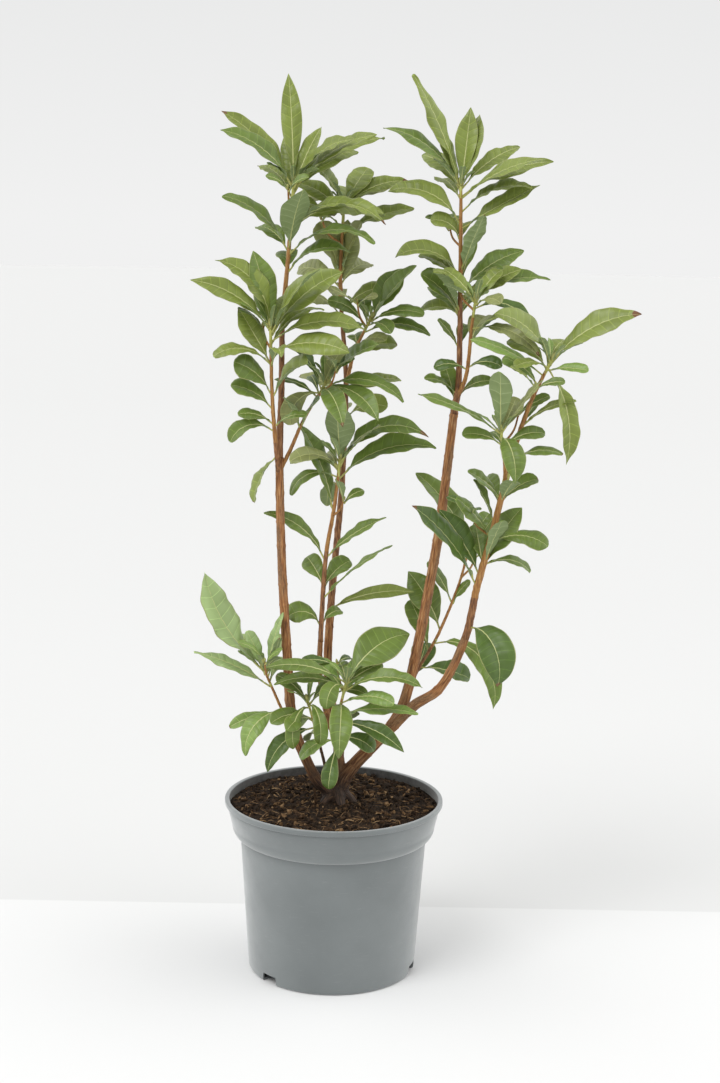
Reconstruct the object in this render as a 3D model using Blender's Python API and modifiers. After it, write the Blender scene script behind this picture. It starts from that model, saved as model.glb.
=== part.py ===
# A young rhododendron (a deciduous azalea) in its grey plastic nursery pot.
# Metres, +Z up. The origin is the middle of the pot's flat underside, and the front of the plant faces -Y.
# Bearings are degrees from the front, turning to the right: 0 is the front, 90 is +X, 180 is the back.

import math
import random
from collections import namedtuple

import bmesh
import bpy
from mathutils import Vector
from mathutils.bvhtree import BVHTree

OBJECT_NAME = "potted_rhododendron"

# Driving dimensions
GAP = 0.0003                 # clearance between pieces that meet
POT_HEIGHT = 0.178
POT_RIM_RADIUS = 0.1109
POT_LIP_DEPTH = 0.005
POT_BAND_TOP_RADIUS = 0.1082
POT_BAND_BOTTOM_RADIUS = 0.1035
POT_BAND_BOTTOM = 0.152
POT_SHOULDER_RADIUS = 0.0948
POT_SHOULDER = 0.140
POT_FOOT_RADIUS = 0.0855
POT_FOOT_CHAMFER = 0.0030
POT_WALL = 0.0018
POT_FLOOR = 0.0025
POT_SEGMENTS = 36
NOTCH_COUNT = 3
NOTCH_FIRST_BEARING = -47.0
NOTCH_WIDTH = 0.023
NOTCH_HEIGHT = 0.0095
NOTCH_DEPTH = 0.012
SOIL_TOP = 0.171
SOIL_EDGE_DROP = 0.003
GROUND = SOIL_TOP + GAP      # the flat cut under the trunk

# How the plant grows
STEPS_PER_SPAN = 4           # path points between two route points
LIMB_ROUNDNESS = 2           # bevel resolution: 4 sides and 2 more for each step
ROOT_ROUNDNESS = 1
SHOOT_ROUNDNESS = 0
LEAF_PITCH = 0.0022          # drop along the shoot from one leaf of a fan to the next
LEAF_WIDTH_SHARE = 0.23      # width of an ordinary leaf over its length
LEAF_THICK_SHARE = 0.012
LEAF_LEAST_THICKNESS = 0.0010
LEAF_FOLD = 0.34             # how far the blade's edges stand up, over the half width
FACE_TURN = 42.0             # how far a leaf that points sideways turns its upper face to the front
PETIOLE_HALF_WIDTH = 0.0008
FOOT_OFFSET = 0.0007         # from the shoot's axis to the foot of a leaf
LEAF_SECTIONS = (0.0, 0.42, 0.78)
LEAF_WIDEST_POWER = 1.25     # these two powers give the outline, widest past the middle
LEAF_TIP_POWER = 1.05
LEAF_CLEARANCE = 0.0009      # kept to every limb and to the leaves of the other masses
LEAF_LOWEST = POT_HEIGHT + 0.004
SIDE_STEPS = (0, 12, -12, 24, -24, 36, -36)
TWIG_LOWEST = 0.60           # twigs leave the shoot between these shares of its height
TWIG_HIGHEST = 0.92
TWIG_LENGTH = 0.024
TWIG_RADIUS = 0.0011
TWIG_LEAF_LENGTH = 0.036
TWIG_LEAF_WIDTH = 0.0115

# name, route of its centre line, radius at the foot and at the tip,
# and the limbs that its foot is cut clear of
Limb = namedtuple("Limb", "name route foot_radius tip_radius clear_of")

# height of the fan's topmost leaf, number of leaves, leaf length, rise where it leaves the shoot,
# how far it bends down by its tip, bearings of the first and the last leaf, and width where it isn't ordinary
Fan = namedtuple("Fan", "height leaves length rise arch first last width", defaults=(None,))

# a shoot's limb, seed, side twigs and fans of leaves
Mass = namedtuple("Mass", "stem seed twigs fans")

COLOURS = {
    "pot": ((0.24, 0.265, 0.267, 1.0), 0.45),
    "soil": ((0.035, 0.022, 0.014, 1.0), 0.95),
    "bark": ((0.27, 0.11, 0.055, 1.0), 0.75),
    "leaf": ((0.085, 0.16, 0.045, 1.0), 0.6),
}


# The limbs of the stump, below the forks

STUMP_LIMBS = (
    Limb("left_stub", ((0.001, 0.002, 0.160), (-0.006, 0.001, 0.184), (-0.021, -0.005, 0.203)),
         0.0095, 0.0057, ()),
    Limb("middle_stub", ((0.002, 0.005, 0.158), (0.005, 0.006, 0.190), (0.004, 0.007, 0.217)),
         0.0095, 0.0060, ()),
    Limb("right_stub", ((0.004, 0.001, 0.162), (0.007, 0.003, 0.190), (0.019, 0.003, 0.210)),
         0.0105, 0.0072, ()),
)
ROOT_BEARINGS = (18, 82, 150, 228, 305)
ROOT_REACH = 0.022
ROOT_RADIUS = 0.0058
ROOT_CROWN = 0.185           # height where the topmost root leaves the stump
ROOT_STEP = 0.0013           # how much lower each next root leaves it
ROOT_INSET = 0.0045          # from the stump's middle to a root's start
STUMP_MIDDLE = (0.003, 0.003, 0.0)

BOUGHS = (
    Limb("left_bough", ((-0.021, -0.005, 0.203), (-0.042, -0.011, 0.258), (-0.049, -0.016, 0.335),
                        (-0.055, -0.020, 0.430), (-0.058, -0.020, 0.528)), 0.0055, 0.0040, ()),
    Limb("middle_bough", ((0.004, 0.007, 0.217), (0.003, 0.009, 0.240), (-0.008, 0.016, 0.297),
                          (-0.007, 0.024, 0.362)), 0.0058, 0.0040, ()),
    Limb("far_right_bough", ((0.019, 0.003, 0.210), (0.051, 0.003, 0.245), (0.079, -0.007, 0.277),
                             (0.106, -0.015, 0.300), (0.128, -0.024, 0.352)), 0.0068, 0.0040, ()),
    Limb("middle_front_bough", ((0.003, 0.008, 0.232), (-0.008, 0.001, 0.262), (-0.016, 0.001, 0.305),
                                (-0.016, 0.000, 0.340)), 0.0030, 0.0027, ("middle_bough",)),
    Limb("right_bough", ((0.053, 0.002, 0.246), (0.073, 0.006, 0.290), (0.097, 0.015, 0.423),
                         (0.106, 0.017, 0.499), (0.113, 0.019, 0.570)), 0.0058, 0.0042, ("far_right_bough",)),
)

SHOOTS = (
    Limb("left_top", ((-0.058, -0.020, 0.528), (-0.057, -0.014, 0.590), (-0.057, -0.006, 0.658),
                      (-0.052, -0.002, 0.725), (-0.048, 0.000, 0.792)), 0.0036, 0.0015, ()),
    Limb("left_side", ((-0.058, -0.020, 0.510), (-0.061, -0.030, 0.538), (-0.065, -0.034, 0.590),
                       (-0.067, -0.040, 0.656)), 0.0026, 0.0014, ("left_bough", "left_top")),
    Limb("left_fork", ((-0.058, -0.020, 0.514), (-0.047, -0.019, 0.537), (-0.034, -0.014, 0.567),
                       (-0.013, -0.010, 0.602)), 0.0022, 0.0013, ("left_bough", "left_top", "left_side")),
    Limb("middle_back", ((-0.007, 0.024, 0.362), (-0.002, 0.031, 0.430), (0.003, 0.038, 0.500),
                         (0.005, 0.045, 0.600), (-0.002, 0.048, 0.690), (0.000, 0.050, 0.772)),
         0.0039, 0.0015, ()),
    Limb("middle_side", ((0.005, 0.045, 0.592), (0.013, 0.038, 0.628), (0.029, 0.030, 0.662)),
         0.0022, 0.0013, ("middle_back",)),
    Limb("middle_front", ((-0.016, 0.000, 0.340), (-0.012, -0.003, 0.424), (-0.004, -0.007, 0.478),
                          (0.001, -0.010, 0.526)), 0.0026, 0.0015, ()),
    Limb("right_top", ((0.113, 0.019, 0.570), (0.117, 0.020, 0.605), (0.116, 0.020, 0.700),
                       (0.114, 0.020, 0.794)), 0.0039, 0.0015, ()),
    Limb("right_side", ((0.115, 0.0195, 0.583), (0.124, 0.009, 0.611), (0.127, 0.001, 0.655),
                        (0.130, -0.005, 0.684)), 0.0023, 0.0013, ("right_top",)),
    Limb("far_right", ((0.128, -0.024, 0.352), (0.138, -0.028, 0.405), (0.150, -0.032, 0.455),
                       (0.164, -0.035, 0.519)), 0.0039, 0.0030, ()),
    Limb("far_right_top", ((0.164, -0.035, 0.519), (0.174, -0.033, 0.557), (0.186, -0.031, 0.592),
                           (0.203, -0.030, 0.628)), 0.0029, 0.0015, ()),
    Limb("far_right_side", ((0.162, -0.034, 0.505), (0.160, -0.043, 0.530), (0.155, -0.046, 0.562)),
         0.0021, 0.0014, ("far_right", "far_right_top")),
    Limb("right_inner", ((0.068, 0.004, 0.279), (0.083, 0.015, 0.309), (0.102, 0.022, 0.342),
                         (0.122, 0.028, 0.392), (0.134, 0.032, 0.438)), 0.0020, 0.0012,
         ("right_bough", "far_right_bough")),
    Limb("low_left", ((-0.039, -0.010, 0.243), (-0.051, -0.021, 0.270), (-0.071, -0.030, 0.318)),
         0.0017, 0.0012, ("left_bough",)),
    Limb("low_centre", ((0.002, -0.003, 0.192), (0.002, -0.020, 0.228), (0.004, -0.030, 0.272),
                        (0.011, -0.040, 0.309)), 0.0020, 0.0013, ("left_stub", "middle_stub", "right_stub")),
    Limb("low_front", ((-0.005, 0.000, 0.191), (-0.014, -0.018, 0.235), (-0.027, -0.030, 0.286)),
         0.0017, 0.0012, ("left_stub", "middle_stub", "right_stub", "left_bough")),
)

MASSES = (
    Mass("left_top", 11, 1, (
        Fan(0.791, 1, 0.107, 86, 8, 200, 200, 0.021),
        Fan(0.789, 1, 0.094, 58, 42, 284, 284, 0.022),
        Fan(0.788, 1, 0.102, 62, 20, 260, 260, 0.022),
        Fan(0.787, 2, 0.106, 50, 46, 80, 102, 0.022),
        Fan(0.786, 2, 0.090, 57, 48, 54, 128, 0.022),
        Fan(0.785, 2, 0.066, 76, 22, 112, 205, 0.017),
        Fan(0.781, 3, 0.080, 48, 45, 148, 205),
        Fan(0.752, 3, 0.104, 40, 72, 66, 118, 0.021),
        Fan(0.730, 1, 0.076, 58, 18, 8, 8, 0.031),
        Fan(0.728, 1, 0.087, 57, 54, 283, 283, 0.027),
        Fan(0.727, 1, 0.066, 50, 45, 225, 225, 0.020),
        Fan(0.724, 1, 0.104, 46, 80, 60, 60, 0.022),
        Fan(0.707, 2, 0.076, 52, 76, 64, 185, 0.023))),
    Mass("left_side", 12, 1, (
        Fan(0.655, 1, 0.092, 50, 40, 280, 280, 0.021),
        Fan(0.654, 1, 0.080, 80, 14, 232, 232, 0.026),
        Fan(0.652, 1, 0.091, 86, 84, 266, 266, 0.024),
        Fan(0.650, 2, 0.070, 60, 42, 205, 165, 0.020),
        Fan(0.650, 2, 0.090, 60, 38, 62, 100, 0.032),
        Fan(0.643, 1, 0.102, 36, 60, 84, 84, 0.024),
        Fan(0.640, 1, 0.080, 50, 50, 150, 150),
        Fan(0.632, 1, 0.086, 26, 46, 72, 72, 0.027),
        Fan(0.622, 1, 0.062, 55, 8, 256, 256, 0.025),
        Fan(0.621, 2, 0.062, 46, 78, 290, 20, 0.017),
        Fan(0.592, 2, 0.052, 58, 45, 292, 64, 0.027),
        Fan(0.578, 1, 0.048, 50, 40, 275, 275, 0.024),
        Fan(0.563, 2, 0.036, 40, 50, 276, 70, 0.014),
        Fan(0.556, 1, 0.048, 30, 100, 285, 285, 0.017),
        Fan(0.531, 1, 0.054, -50, 30, 245, 245, 0.023))),
    Mass("left_fork", 13, 1, (
        Fan(0.601, 1, 0.074, 50, 30, 58, 58, 0.028),
        Fan(0.596, 1, 0.092, 26, 76, 72, 72, 0.023),
        Fan(0.596, 2, 0.080, 10, 70, 48, 22, 0.021),
        Fan(0.595, 2, 0.054, 68, 25, 285, 125, 0.017),
        Fan(0.592, 1, 0.050, 0, 100, 296, 296, 0.022),
        Fan(0.590, 2, 0.050, 40, 50, 200, 250),
        Fan(0.560, 2, 0.040, 58, 25, 30, 330, 0.020))),
    Mass("middle_front", 16, 1, (
        Fan(0.525, 1, 0.062, 76, 10, 350, 350, 0.032),
        Fan(0.524, 1, 0.062, 52, 20, 55, 55, 0.016),
        Fan(0.519, 1, 0.106, 66, 105, 74, 74, 0.022),
        Fan(0.518, 3, 0.058, 45, 80, 298, 200, 0.016),
        Fan(0.502, 1, 0.056, 0, 70, 205, 205, 0.015),
        Fan(0.507, 1, 0.112, 44, 58, 90, 90, 0.026),
        Fan(0.509, 1, 0.058, 26, 100, 274, 274, 0.016),
        Fan(0.476, 1, 0.098, 74, 18, 258, 258, 0.026),
        Fan(0.428, 1, 0.080, 48, 28, 72, 72, 0.015),
        Fan(0.425, 1, 0.084, 62, 60, 270, 270, 0.017),
        Fan(0.398, 2, 0.040, 55, 40, 225, 130, 0.021),
        Fan(0.386, 1, 0.104, 50, 22, 62, 62, 0.015),
        Fan(0.359, 1, 0.030, 55, 60, 120, 120, 0.014),
        Fan(0.357, 1, 0.043, 64, 100, 284, 284, 0.025))),
    Mass("middle_side", 15, 1, (
        Fan(0.661, 1, 0.066, 68, 16, 114, 114, 0.026),
        Fan(0.659, 1, 0.074, 54, 8, 92, 92, 0.027),
        Fan(0.659, 1, 0.060, 36, 45, 70, 70, 0.016),
        Fan(0.656, 2, 0.038, 20, 60, 40, 330, 0.017),
        Fan(0.655, 2, 0.052, 62, 50, 190, 290, 0.016),
        Fan(0.649, 1, 0.066, 26, 60, 84, 84, 0.017),
        Fan(0.636, 2, 0.036, 38, 50, 60, 200, 0.018))),
    Mass("middle_back", 14, 1, (
        Fan(0.770, 1, 0.051, 62, 18, 122, 122, 0.027),
        Fan(0.771, 1, 0.050, 68, 20, 282, 282, 0.024),
        Fan(0.770, 2, 0.076, 46, 50, 92, 130, 0.018),
        Fan(0.766, 1, 0.076, 34, 50, 225, 225, 0.021),
        Fan(0.763, 2, 0.062, 52, 45, 265, 175, 0.021),
        Fan(0.745, 1, 0.078, 32, 30, 66, 66, 0.026),
        Fan(0.750, 2, 0.060, 45, 60, 295, 20, 0.020),
        Fan(0.706, 2, 0.056, 72, 20, 60, 275, 0.028),
        Fan(0.694, 2, 0.064, 44, 60, 152, 235, 0.023),
        Fan(0.692, 1, 0.070, 84, 12, 150, 150, 0.030),
        Fan(0.668, 3, 0.060, 52, 55, 85, 300, 0.022),
        Fan(0.622, 2, 0.058, 42, 50, 98, 72, 0.027),
        Fan(0.600, 3, 0.062, 50, 35, 62, 150, 0.028),
        Fan(0.585, 2, 0.062, 36, 40, 104, 240, 0.018),
        Fan(0.563, 2, 0.048, 40, 50, 76, 190, 0.022),
        Fan(0.370, 1, 0.092, 27, 30, 90, 90, 0.016))),
    Mass("right_top", 17, 1, (
        Fan(0.792, 1, 0.096, 57, 42, 280, 280, 0.023),
        Fan(0.791, 1, 0.118, 76, 16, 275, 275, 0.022),
        Fan(0.791, 1, 0.074, 70, 10, 128, 128, 0.024),
        Fan(0.790, 1, 0.082, 77, 8, 152, 152, 0.021),
        Fan(0.790, 2, 0.082, 48, 40, 116, 220, 0.019),
        Fan(0.788, 1, 0.062, 68, 8, 235, 235, 0.015),
        Fan(0.783, 2, 0.100, 36, 34, 80, 56, 0.021),
        Fan(0.780, 1, 0.084, 34, 48, 200, 200, 0.020),
        Fan(0.768, 1, 0.074, 44, 50, 76, 76, 0.022),
        Fan(0.752, 1, 0.084, 31, 2, 84, 84, 0.021),
        Fan(0.757, 1, 0.086, 60, 76, 272, 272, 0.023),
        Fan(0.741, 2, 0.036, 68, 75, 262, 170, 0.020),
        Fan(0.711, 1, 0.066, 62, 20, 38, 38, 0.029),
        Fan(0.706, 1, 0.072, 56, 84, 282, 282, 0.023),
        Fan(0.700, 1, 0.046, 76, 8, 120, 120, 0.016),
        Fan(0.700, 1, 0.050, 50, 50, 258, 258, 0.024),
        Fan(0.690, 1, 0.076, 46, 30, 104, 104, 0.027),
        Fan(0.678, 1, 0.070, 44, 20, 84, 84, 0.024),
        Fan(0.683, 1, 0.089, 32, 40, 88, 88, 0.022),
        Fan(0.672, 2, 0.054, 54, 28, 318, 274, 0.025),
        Fan(0.669, 1, 0.044, 28, 60, 272, 272, 0.021),
        Fan(0.666, 2, 0.064, 50, 45, 156, 215, 0.018),
        Fan(0.636, 2, 0.036, 56, 22, 270, 170, 0.013),
        Fan(0.590, 2, 0.038, 50, 50, 292, 90, 0.015),
        Fan(0.582, 1, 0.036, 76, 10, 245, 245, 0.017))),
    Mass("far_right_top", 20, 1, (
        Fan(0.627, 1, 0.080, 62, 50, 282, 282, 0.029),
        Fan(0.627, 1, 0.104, 51, 50, 80, 80, 0.029),
        Fan(0.622, 1, 0.044, 24, 50, 305, 305, 0.016),
        Fan(0.621, 1, 0.104, -58, 44, 70, 70, 0.021),
        Fan(0.620, 2, 0.056, 50, 50, 232, 155, 0.022),
        Fan(0.619, 1, 0.040, 10, 20, 76, 76, 0.014),
        Fan(0.614, 1, 0.082, 40, 20, 282, 282, 0.019),
        Fan(0.604, 1, 0.044, 58, 42, 246, 246, 0.019),
        Fan(0.566, 2, 0.056, 40, 44, 86, 150, 0.012),
        Fan(0.531, 1, 0.052, 34, 60, 82, 82, 0.018))),
    Mass("far_right_side", 21, 1, (
        Fan(0.561, 1, 0.058, 80, 8, 350, 350, 0.025),
        Fan(0.560, 1, 0.066, 56, 12, 70, 70, 0.016),
        Fan(0.559, 1, 0.092, 36, 24, 292, 292, 0.017),
        Fan(0.558, 1, 0.040, 62, 10, 140, 140, 0.022),
        Fan(0.555, 1, 0.064, 0, 105, 14, 14, 0.024),
        Fan(0.548, 2, 0.040, 36, 50, 268, 190, 0.016),
        Fan(0.545, 1, 0.046, 42, 60, 130, 130, 0.016))),
    Mass("right_side", 18, 1, (
        Fan(0.676, 1, 0.074, 26, 115, 80, 80, 0.017),
        Fan(0.682, 2, 0.044, 58, 30, 250, 120, 0.017),
        Fan(0.679, 1, 0.042, 28, 50, 40, 40, 0.016),
        Fan(0.656, 1, 0.078, 10, 60, 62, 62, 0.016),
        Fan(0.642, 2, 0.046, 55, 30, 48, 180, 0.025),
        Fan(0.618, 2, 0.034, 30, 60, 80, 280, 0.015))),
    Mass("far_right", 19, 1, (
        Fan(0.494, 2, 0.042, 48, 25, 282, 22, 0.020),
        Fan(0.490, 2, 0.046, 45, 40, 120, 200, 0.019),
        Fan(0.470, 1, 0.046, 70, 6, 270, 270, 0.014),
        Fan(0.449, 1, 0.060, 30, 60, 78, 78, 0.024),
        Fan(0.455, 1, 0.056, 60, 20, 290, 290, 0.024),
        Fan(0.428, 1, 0.056, 18, 60, 100, 100, 0.014),
        Fan(0.428, 1, 0.058, 64, 20, 38, 38, 0.022),
        Fan(0.426, 1, 0.044, 70, 20, 205, 205, 0.018),
        Fan(0.422, 1, 0.074, 70, 20, 108, 108, 0.035),
        Fan(0.417, 1, 0.076, 66, 18, 262, 262, 0.026),
        Fan(0.406, 1, 0.118, 64, 24, 284, 284, 0.029),
        Fan(0.364, 1, 0.086, 4, 112, 30, 30, 0.036))),
    Mass("right_inner", 22, 1, (
        Fan(0.437, 2, 0.040, 62, 30, 250, 120, 0.016),
        Fan(0.434, 1, 0.094, 64, 30, 258, 258, 0.032),
        Fan(0.378, 1, 0.046, 62, 14, 268, 268, 0.018),
        Fan(0.376, 1, 0.030, 66, 30, 70, 70, 0.016),
        Fan(0.350, 1, 0.072, 68, 16, 246, 246, 0.031),
        Fan(0.336, 1, 0.112, 16, 118, 58, 58, 0.021),
        Fan(0.328, 1, 0.056, 72, 18, 246, 246, 0.024),
        Fan(0.300, 1, 0.050, 40, 14, 150, 150, 0.026),
        Fan(0.312, 1, 0.052, -8, 20, 95, 95, 0.030))),
    Mass("low_left", 23, 1, (
        Fan(0.317, 1, 0.119, 39, -40, 277, 277, 0.035),
        Fan(0.315, 2, 0.052, 55, 25, 232, 140, 0.014),
        Fan(0.314, 1, 0.062, 78, 8, 100, 100, 0.012),
        Fan(0.300, 1, 0.084, 32, 26, 270, 270, 0.015),
        Fan(0.312, 2, 0.048, 70, 14, 285, 40, 0.016),
        Fan(0.305, 1, 0.042, 45, 40, 150, 150, 0.013),
        Fan(0.274, 1, 0.064, 0, 90, 304, 304, 0.023),
        Fan(0.270, 1, 0.060, 8, 30, 282, 282, 0.013))),
    Mass("low_centre", 24, 1, (
        Fan(0.309, 1, 0.086, 30, 45, 277, 277, 0.015),
        Fan(0.308, 1, 0.093, 60, 58, 120, 120, 0.038),
        Fan(0.307, 2, 0.046, 38, 30, 110, 180, 0.018),
        Fan(0.304, 1, 0.044, 36, 115, 322, 322, 0.020),
        Fan(0.303, 1, 0.070, 22, 40, 268, 268, 0.015),
        Fan(0.300, 1, 0.086, 32, 66, 76, 76, 0.018),
        Fan(0.298, 2, 0.050, 50, 50, 235, 150, 0.022),
        Fan(0.283, 1, 0.084, 24, 112, 352, 352, 0.023),
        Fan(0.287, 1, 0.062, 30, 46, 66, 66, 0.016),
        Fan(0.262, 1, 0.050, 30, 60, 180, 180, 0.019),
        Fan(0.274, 1, 0.082, 16, 28, 84, 84, 0.017),
        Fan(0.265, 1, 0.074, 0, 48, 72, 72, 0.018),
        Fan(0.248, 2, 0.042, 6, 60, 84, 290, 0.020),
        Fan(0.238, 1, 0.046, -24, 60, 345, 345, 0.018))),
    Mass("low_front", 25, 1, (
        Fan(0.285, 2, 0.042, 55, 35, 290, 92, 0.017),
        Fan(0.282, 2, 0.060, 20, 130, 18, 332, 0.015),
        Fan(0.270, 3, 0.048, 30, 60, 250, 330, 0.018),
        Fan(0.250, 2, 0.040, 10, 70, 10, 200, 0.016),
        Fan(0.246, 1, 0.040, -10, 60, 318, 318, 0.018),
        Fan(0.258, 1, 0.070, -8, 70, 290, 290, 0.019))),
)


def named_material(name):
    colour, roughness = COLOURS[name]
    material = bpy.data.materials.new(name)
    material.use_nodes = True
    surface = material.node_tree.nodes["Principled BSDF"]
    surface.inputs["Base Color"].default_value = colour
    surface.inputs["Roughness"].default_value = roughness
    surface.inputs["Metallic"].default_value = 0.0
    return material


def new_object(name, mesh, collection):
    obj = bpy.data.objects.new(name, mesh)
    collection.objects.link(obj)
    return obj


def hide_as_cutter(obj):
    obj.hide_render = True
    obj.display_type = "WIRE"


def add_boolean(obj, operation, target):
    cut = obj.modifiers.new(operation.lower(), "BOOLEAN")
    cut.operation = operation
    cut.solver = "EXACT"
    if isinstance(target, bpy.types.Collection):
        cut.operand_type = "COLLECTION"
        cut.collection = target
    else:
        cut.object = target
    return cut


def apply_modifiers(obj):
    """Keeps the evaluated mesh as the object's own, with its modifiers gone."""
    bpy.context.view_layer.update()
    shape = bpy.data.meshes.new_from_object(obj.evaluated_get(bpy.context.evaluated_depsgraph_get()))
    obj.modifiers.clear()
    obj.data = shape


def is_closed(mesh):
    """True where each edge, also once the faces are split into triangles, has a face on both sides."""
    shape = bmesh.new()
    shape.from_mesh(mesh)
    bmesh.ops.triangulate(shape, faces=shape.faces)
    closed = all(len(edge.link_faces) == 2 for edge in shape.edges)
    shape.free()
    return closed


def fuse(obj, pieces):
    """Joins a collection's solids to the object, by the second solver where the first leaves an open edge."""
    first = obj.data
    for solver in ("EXACT", "MANIFOLD"):
        obj.data = first
        add_boolean(obj, "UNION", pieces).solver = solver
        apply_modifiers(obj)
        if is_closed(obj.data):
            break
    remove_objects(pieces.objects)
    bpy.data.collections.remove(pieces)


def remove_objects(objects):
    for obj in list(objects):
        bpy.data.objects.remove(obj)


def keep_largest_body(mesh):
    """Drops loose scraps and fills sealed hollows, by keeping only the tallest body."""
    shape = bmesh.new()
    shape.from_mesh(mesh)
    left = set(shape.verts)
    bodies = []
    while left:
        body = {left.pop()}
        border = list(body)
        while border:
            for edge in border.pop().link_edges:
                for vert in edge.verts:
                    if vert in left:
                        left.discard(vert)
                        body.add(vert)
                        border.append(vert)
        bodies.append(body)

    def height(body):
        return max(v.co.z for v in body) - min(v.co.z for v in body)

    bodies.sort(key=height)
    for body in bodies[:-1]:
        bmesh.ops.delete(shape, geom=list(body), context="VERTS")
    shape.to_mesh(mesh)
    shape.free()


# Limbs

def smooth_path(route, before=None, after=None):
    """Points along a smooth curve through the route, in line at both ends with the limbs that it meets."""
    points = [Vector(point) for point in route]
    first = Vector(before) if before else points[0] * 2 - points[1]
    last = Vector(after) if after else points[-1] * 2 - points[-2]
    points = [first] + points + [last]
    path = []
    for a, b, c, d in zip(points, points[1:], points[2:], points[3:]):
        for step in range(STEPS_PER_SPAN):
            t = step / STEPS_PER_SPAN
            path.append(0.5 * (2 * b + (c - a) * t + (2 * a - 5 * b + 4 * c - d) * t * t
                               + (3 * b - a - 3 * c + d) * t * t * t))
    path.append(points[-2])
    foot_span = (points[2] - points[0]).normalized() * (path[1] - path[0]).length
    tip_span = (points[-1] - points[-3]).normalized() * (path[-1] - path[-2]).length
    path[1] = path[0] + foot_span
    path[-2] = path[-1] - tip_span
    return path


def trim_foot(path, amount):
    """Starts the path a little later, which leaves the gap where a limb stands on another's tip."""
    span = path[1] - path[0]
    return [path[0] + span.normalized() * amount] + path[1:]


def tube(name, path, radii, collection, roundness):
    """A round limb: a curve with a bevel depth of one metre, scaled by the radius at each point."""
    curve = bpy.data.curves.new(name, "CURVE")
    curve.dimensions = "3D"
    curve.bevel_depth = 1.0
    curve.bevel_resolution = roundness
    curve.use_fill_caps = True
    spline = curve.splines.new("POLY")
    spline.points.add(len(path) - 1)
    for point, centre, radius in zip(spline.points, path, radii):
        point.co = (*centre, 1.0)
        point.radius = radius
    guide = new_object(name + "_curve", curve, collection)
    bpy.context.view_layer.update()
    mesh = bpy.data.meshes.new_from_object(guide.evaluated_get(bpy.context.evaluated_depsgraph_get()))
    bpy.data.objects.remove(guide)
    bpy.data.curves.remove(curve)
    shape = bmesh.new()
    shape.from_mesh(mesh)
    bmesh.ops.remove_doubles(shape, verts=shape.verts, dist=0.00001)
    bmesh.ops.recalc_face_normals(shape, faces=shape.faces)
    bmesh.ops.triangulate(shape, faces=shape.faces)
    shape.to_mesh(mesh)
    shape.free()
    mesh.name = name
    return new_object(name, mesh, collection)


def limb_path(limb, foot_trim):
    limbs = STUMP_LIMBS + BOUGHS + SHOOTS
    before = next((each.route[-2] for each in limbs if each.route[-1] == limb.route[0]), None)
    after = next((each.route[1] for each in limbs if each.route[0] == limb.route[-1]), None)
    path = trim_foot(smooth_path(limb.route, before, after), foot_trim)
    last = len(path) - 1
    radii = [limb.foot_radius + (limb.tip_radius - limb.foot_radius) * n / last for n in range(last + 1)]
    return path, radii


def make_limb(limb, collection, cutters, foot_trim=0.0, extra=0.0):
    path, radii = limb_path(limb, foot_trim)
    name = limb.name if not extra else limb.name + "_clearance"
    roundness = SHOOT_ROUNDNESS if limb in SHOOTS else LIMB_ROUNDNESS
    obj = tube(name, path, [radius + extra for radius in radii], collection, roundness)
    if limb.clear_of and not extra:
        for parent in limb.clear_of:
            cut_clear(obj, parent, cutters)
        keep_largest_body(obj.data)
    return obj


def cut_clear(obj, parent, cutters):
    """Cuts the foot of a side limb to the shape of its parent, with the gap between them."""
    limb = {each.name: each for each in STUMP_LIMBS + BOUGHS + SHOOTS}[parent]
    cutter = make_limb(limb, cutters, cutters, extra=GAP)
    hide_as_cutter(cutter)
    add_boolean(obj, "DIFFERENCE", cutter)
    apply_modifiers(obj)
    remove_objects([cutter])


def make_trunk(collection, cutters):
    """The short stump: three stubs that part near the ground, and roots that flare out to the soil."""
    merged = bpy.data.collections.new("stump_limbs")
    bpy.context.scene.collection.children.link(merged)
    trunk = make_limb(STUMP_LIMBS[2], collection, cutters)
    trunk.name = "trunk"
    for limb in STUMP_LIMBS[:2]:
        make_limb(limb, merged, cutters)
    for number, bearing in enumerate(ROOT_BEARINGS):
        outward = heading(bearing)
        middle = Vector(STUMP_MIDDLE)
        crown = middle + outward * ROOT_INSET + Vector((0, 0, ROOT_CROWN - ROOT_STEP * number))
        elbow = middle + outward * ROOT_REACH * 0.55 + Vector((0, 0, GROUND + ROOT_RADIUS))
        end = middle + outward * ROOT_REACH + Vector((0, 0, GROUND - ROOT_RADIUS))
        path = smooth_path((crown, elbow, end))[::2]
        radii = [ROOT_RADIUS * (1.0 - 0.35 * n / (len(path) - 1)) for n in range(len(path))]
        tube("root_%d" % number, path, radii, merged, ROOT_ROUNDNESS)
    fuse(trunk, merged)

    bpy.ops.mesh.primitive_cube_add(size=0.1, location=(0.0, 0.0, GROUND - 0.05))
    ground = bpy.context.object
    ground.name = "ground_cutter"
    move_to(ground, cutters)
    hide_as_cutter(ground)
    add_boolean(trunk, "DIFFERENCE", ground)
    apply_modifiers(trunk)
    keep_largest_body(trunk.data)
    remove_objects([ground])
    return trunk


def move_to(obj, collection):
    for old in list(obj.users_collection):
        old.objects.unlink(obj)
    collection.objects.link(obj)


# Leaves

def heading(bearing):
    angle = math.radians(bearing)
    return Vector((math.sin(angle), -math.cos(angle), 0.0))


def outline(share):
    """Half width of the blade over its widest, from the foot (0) to the tip (1)."""
    a, b = LEAF_WIDEST_POWER, LEAF_TIP_POWER
    widest = a / (a + b)
    return share ** a * (1 - share) ** b / (widest ** a * (1 - widest) ** b)


Leaf = namedtuple("Leaf", "foot bearing rise arch sway roll length width")


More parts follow.
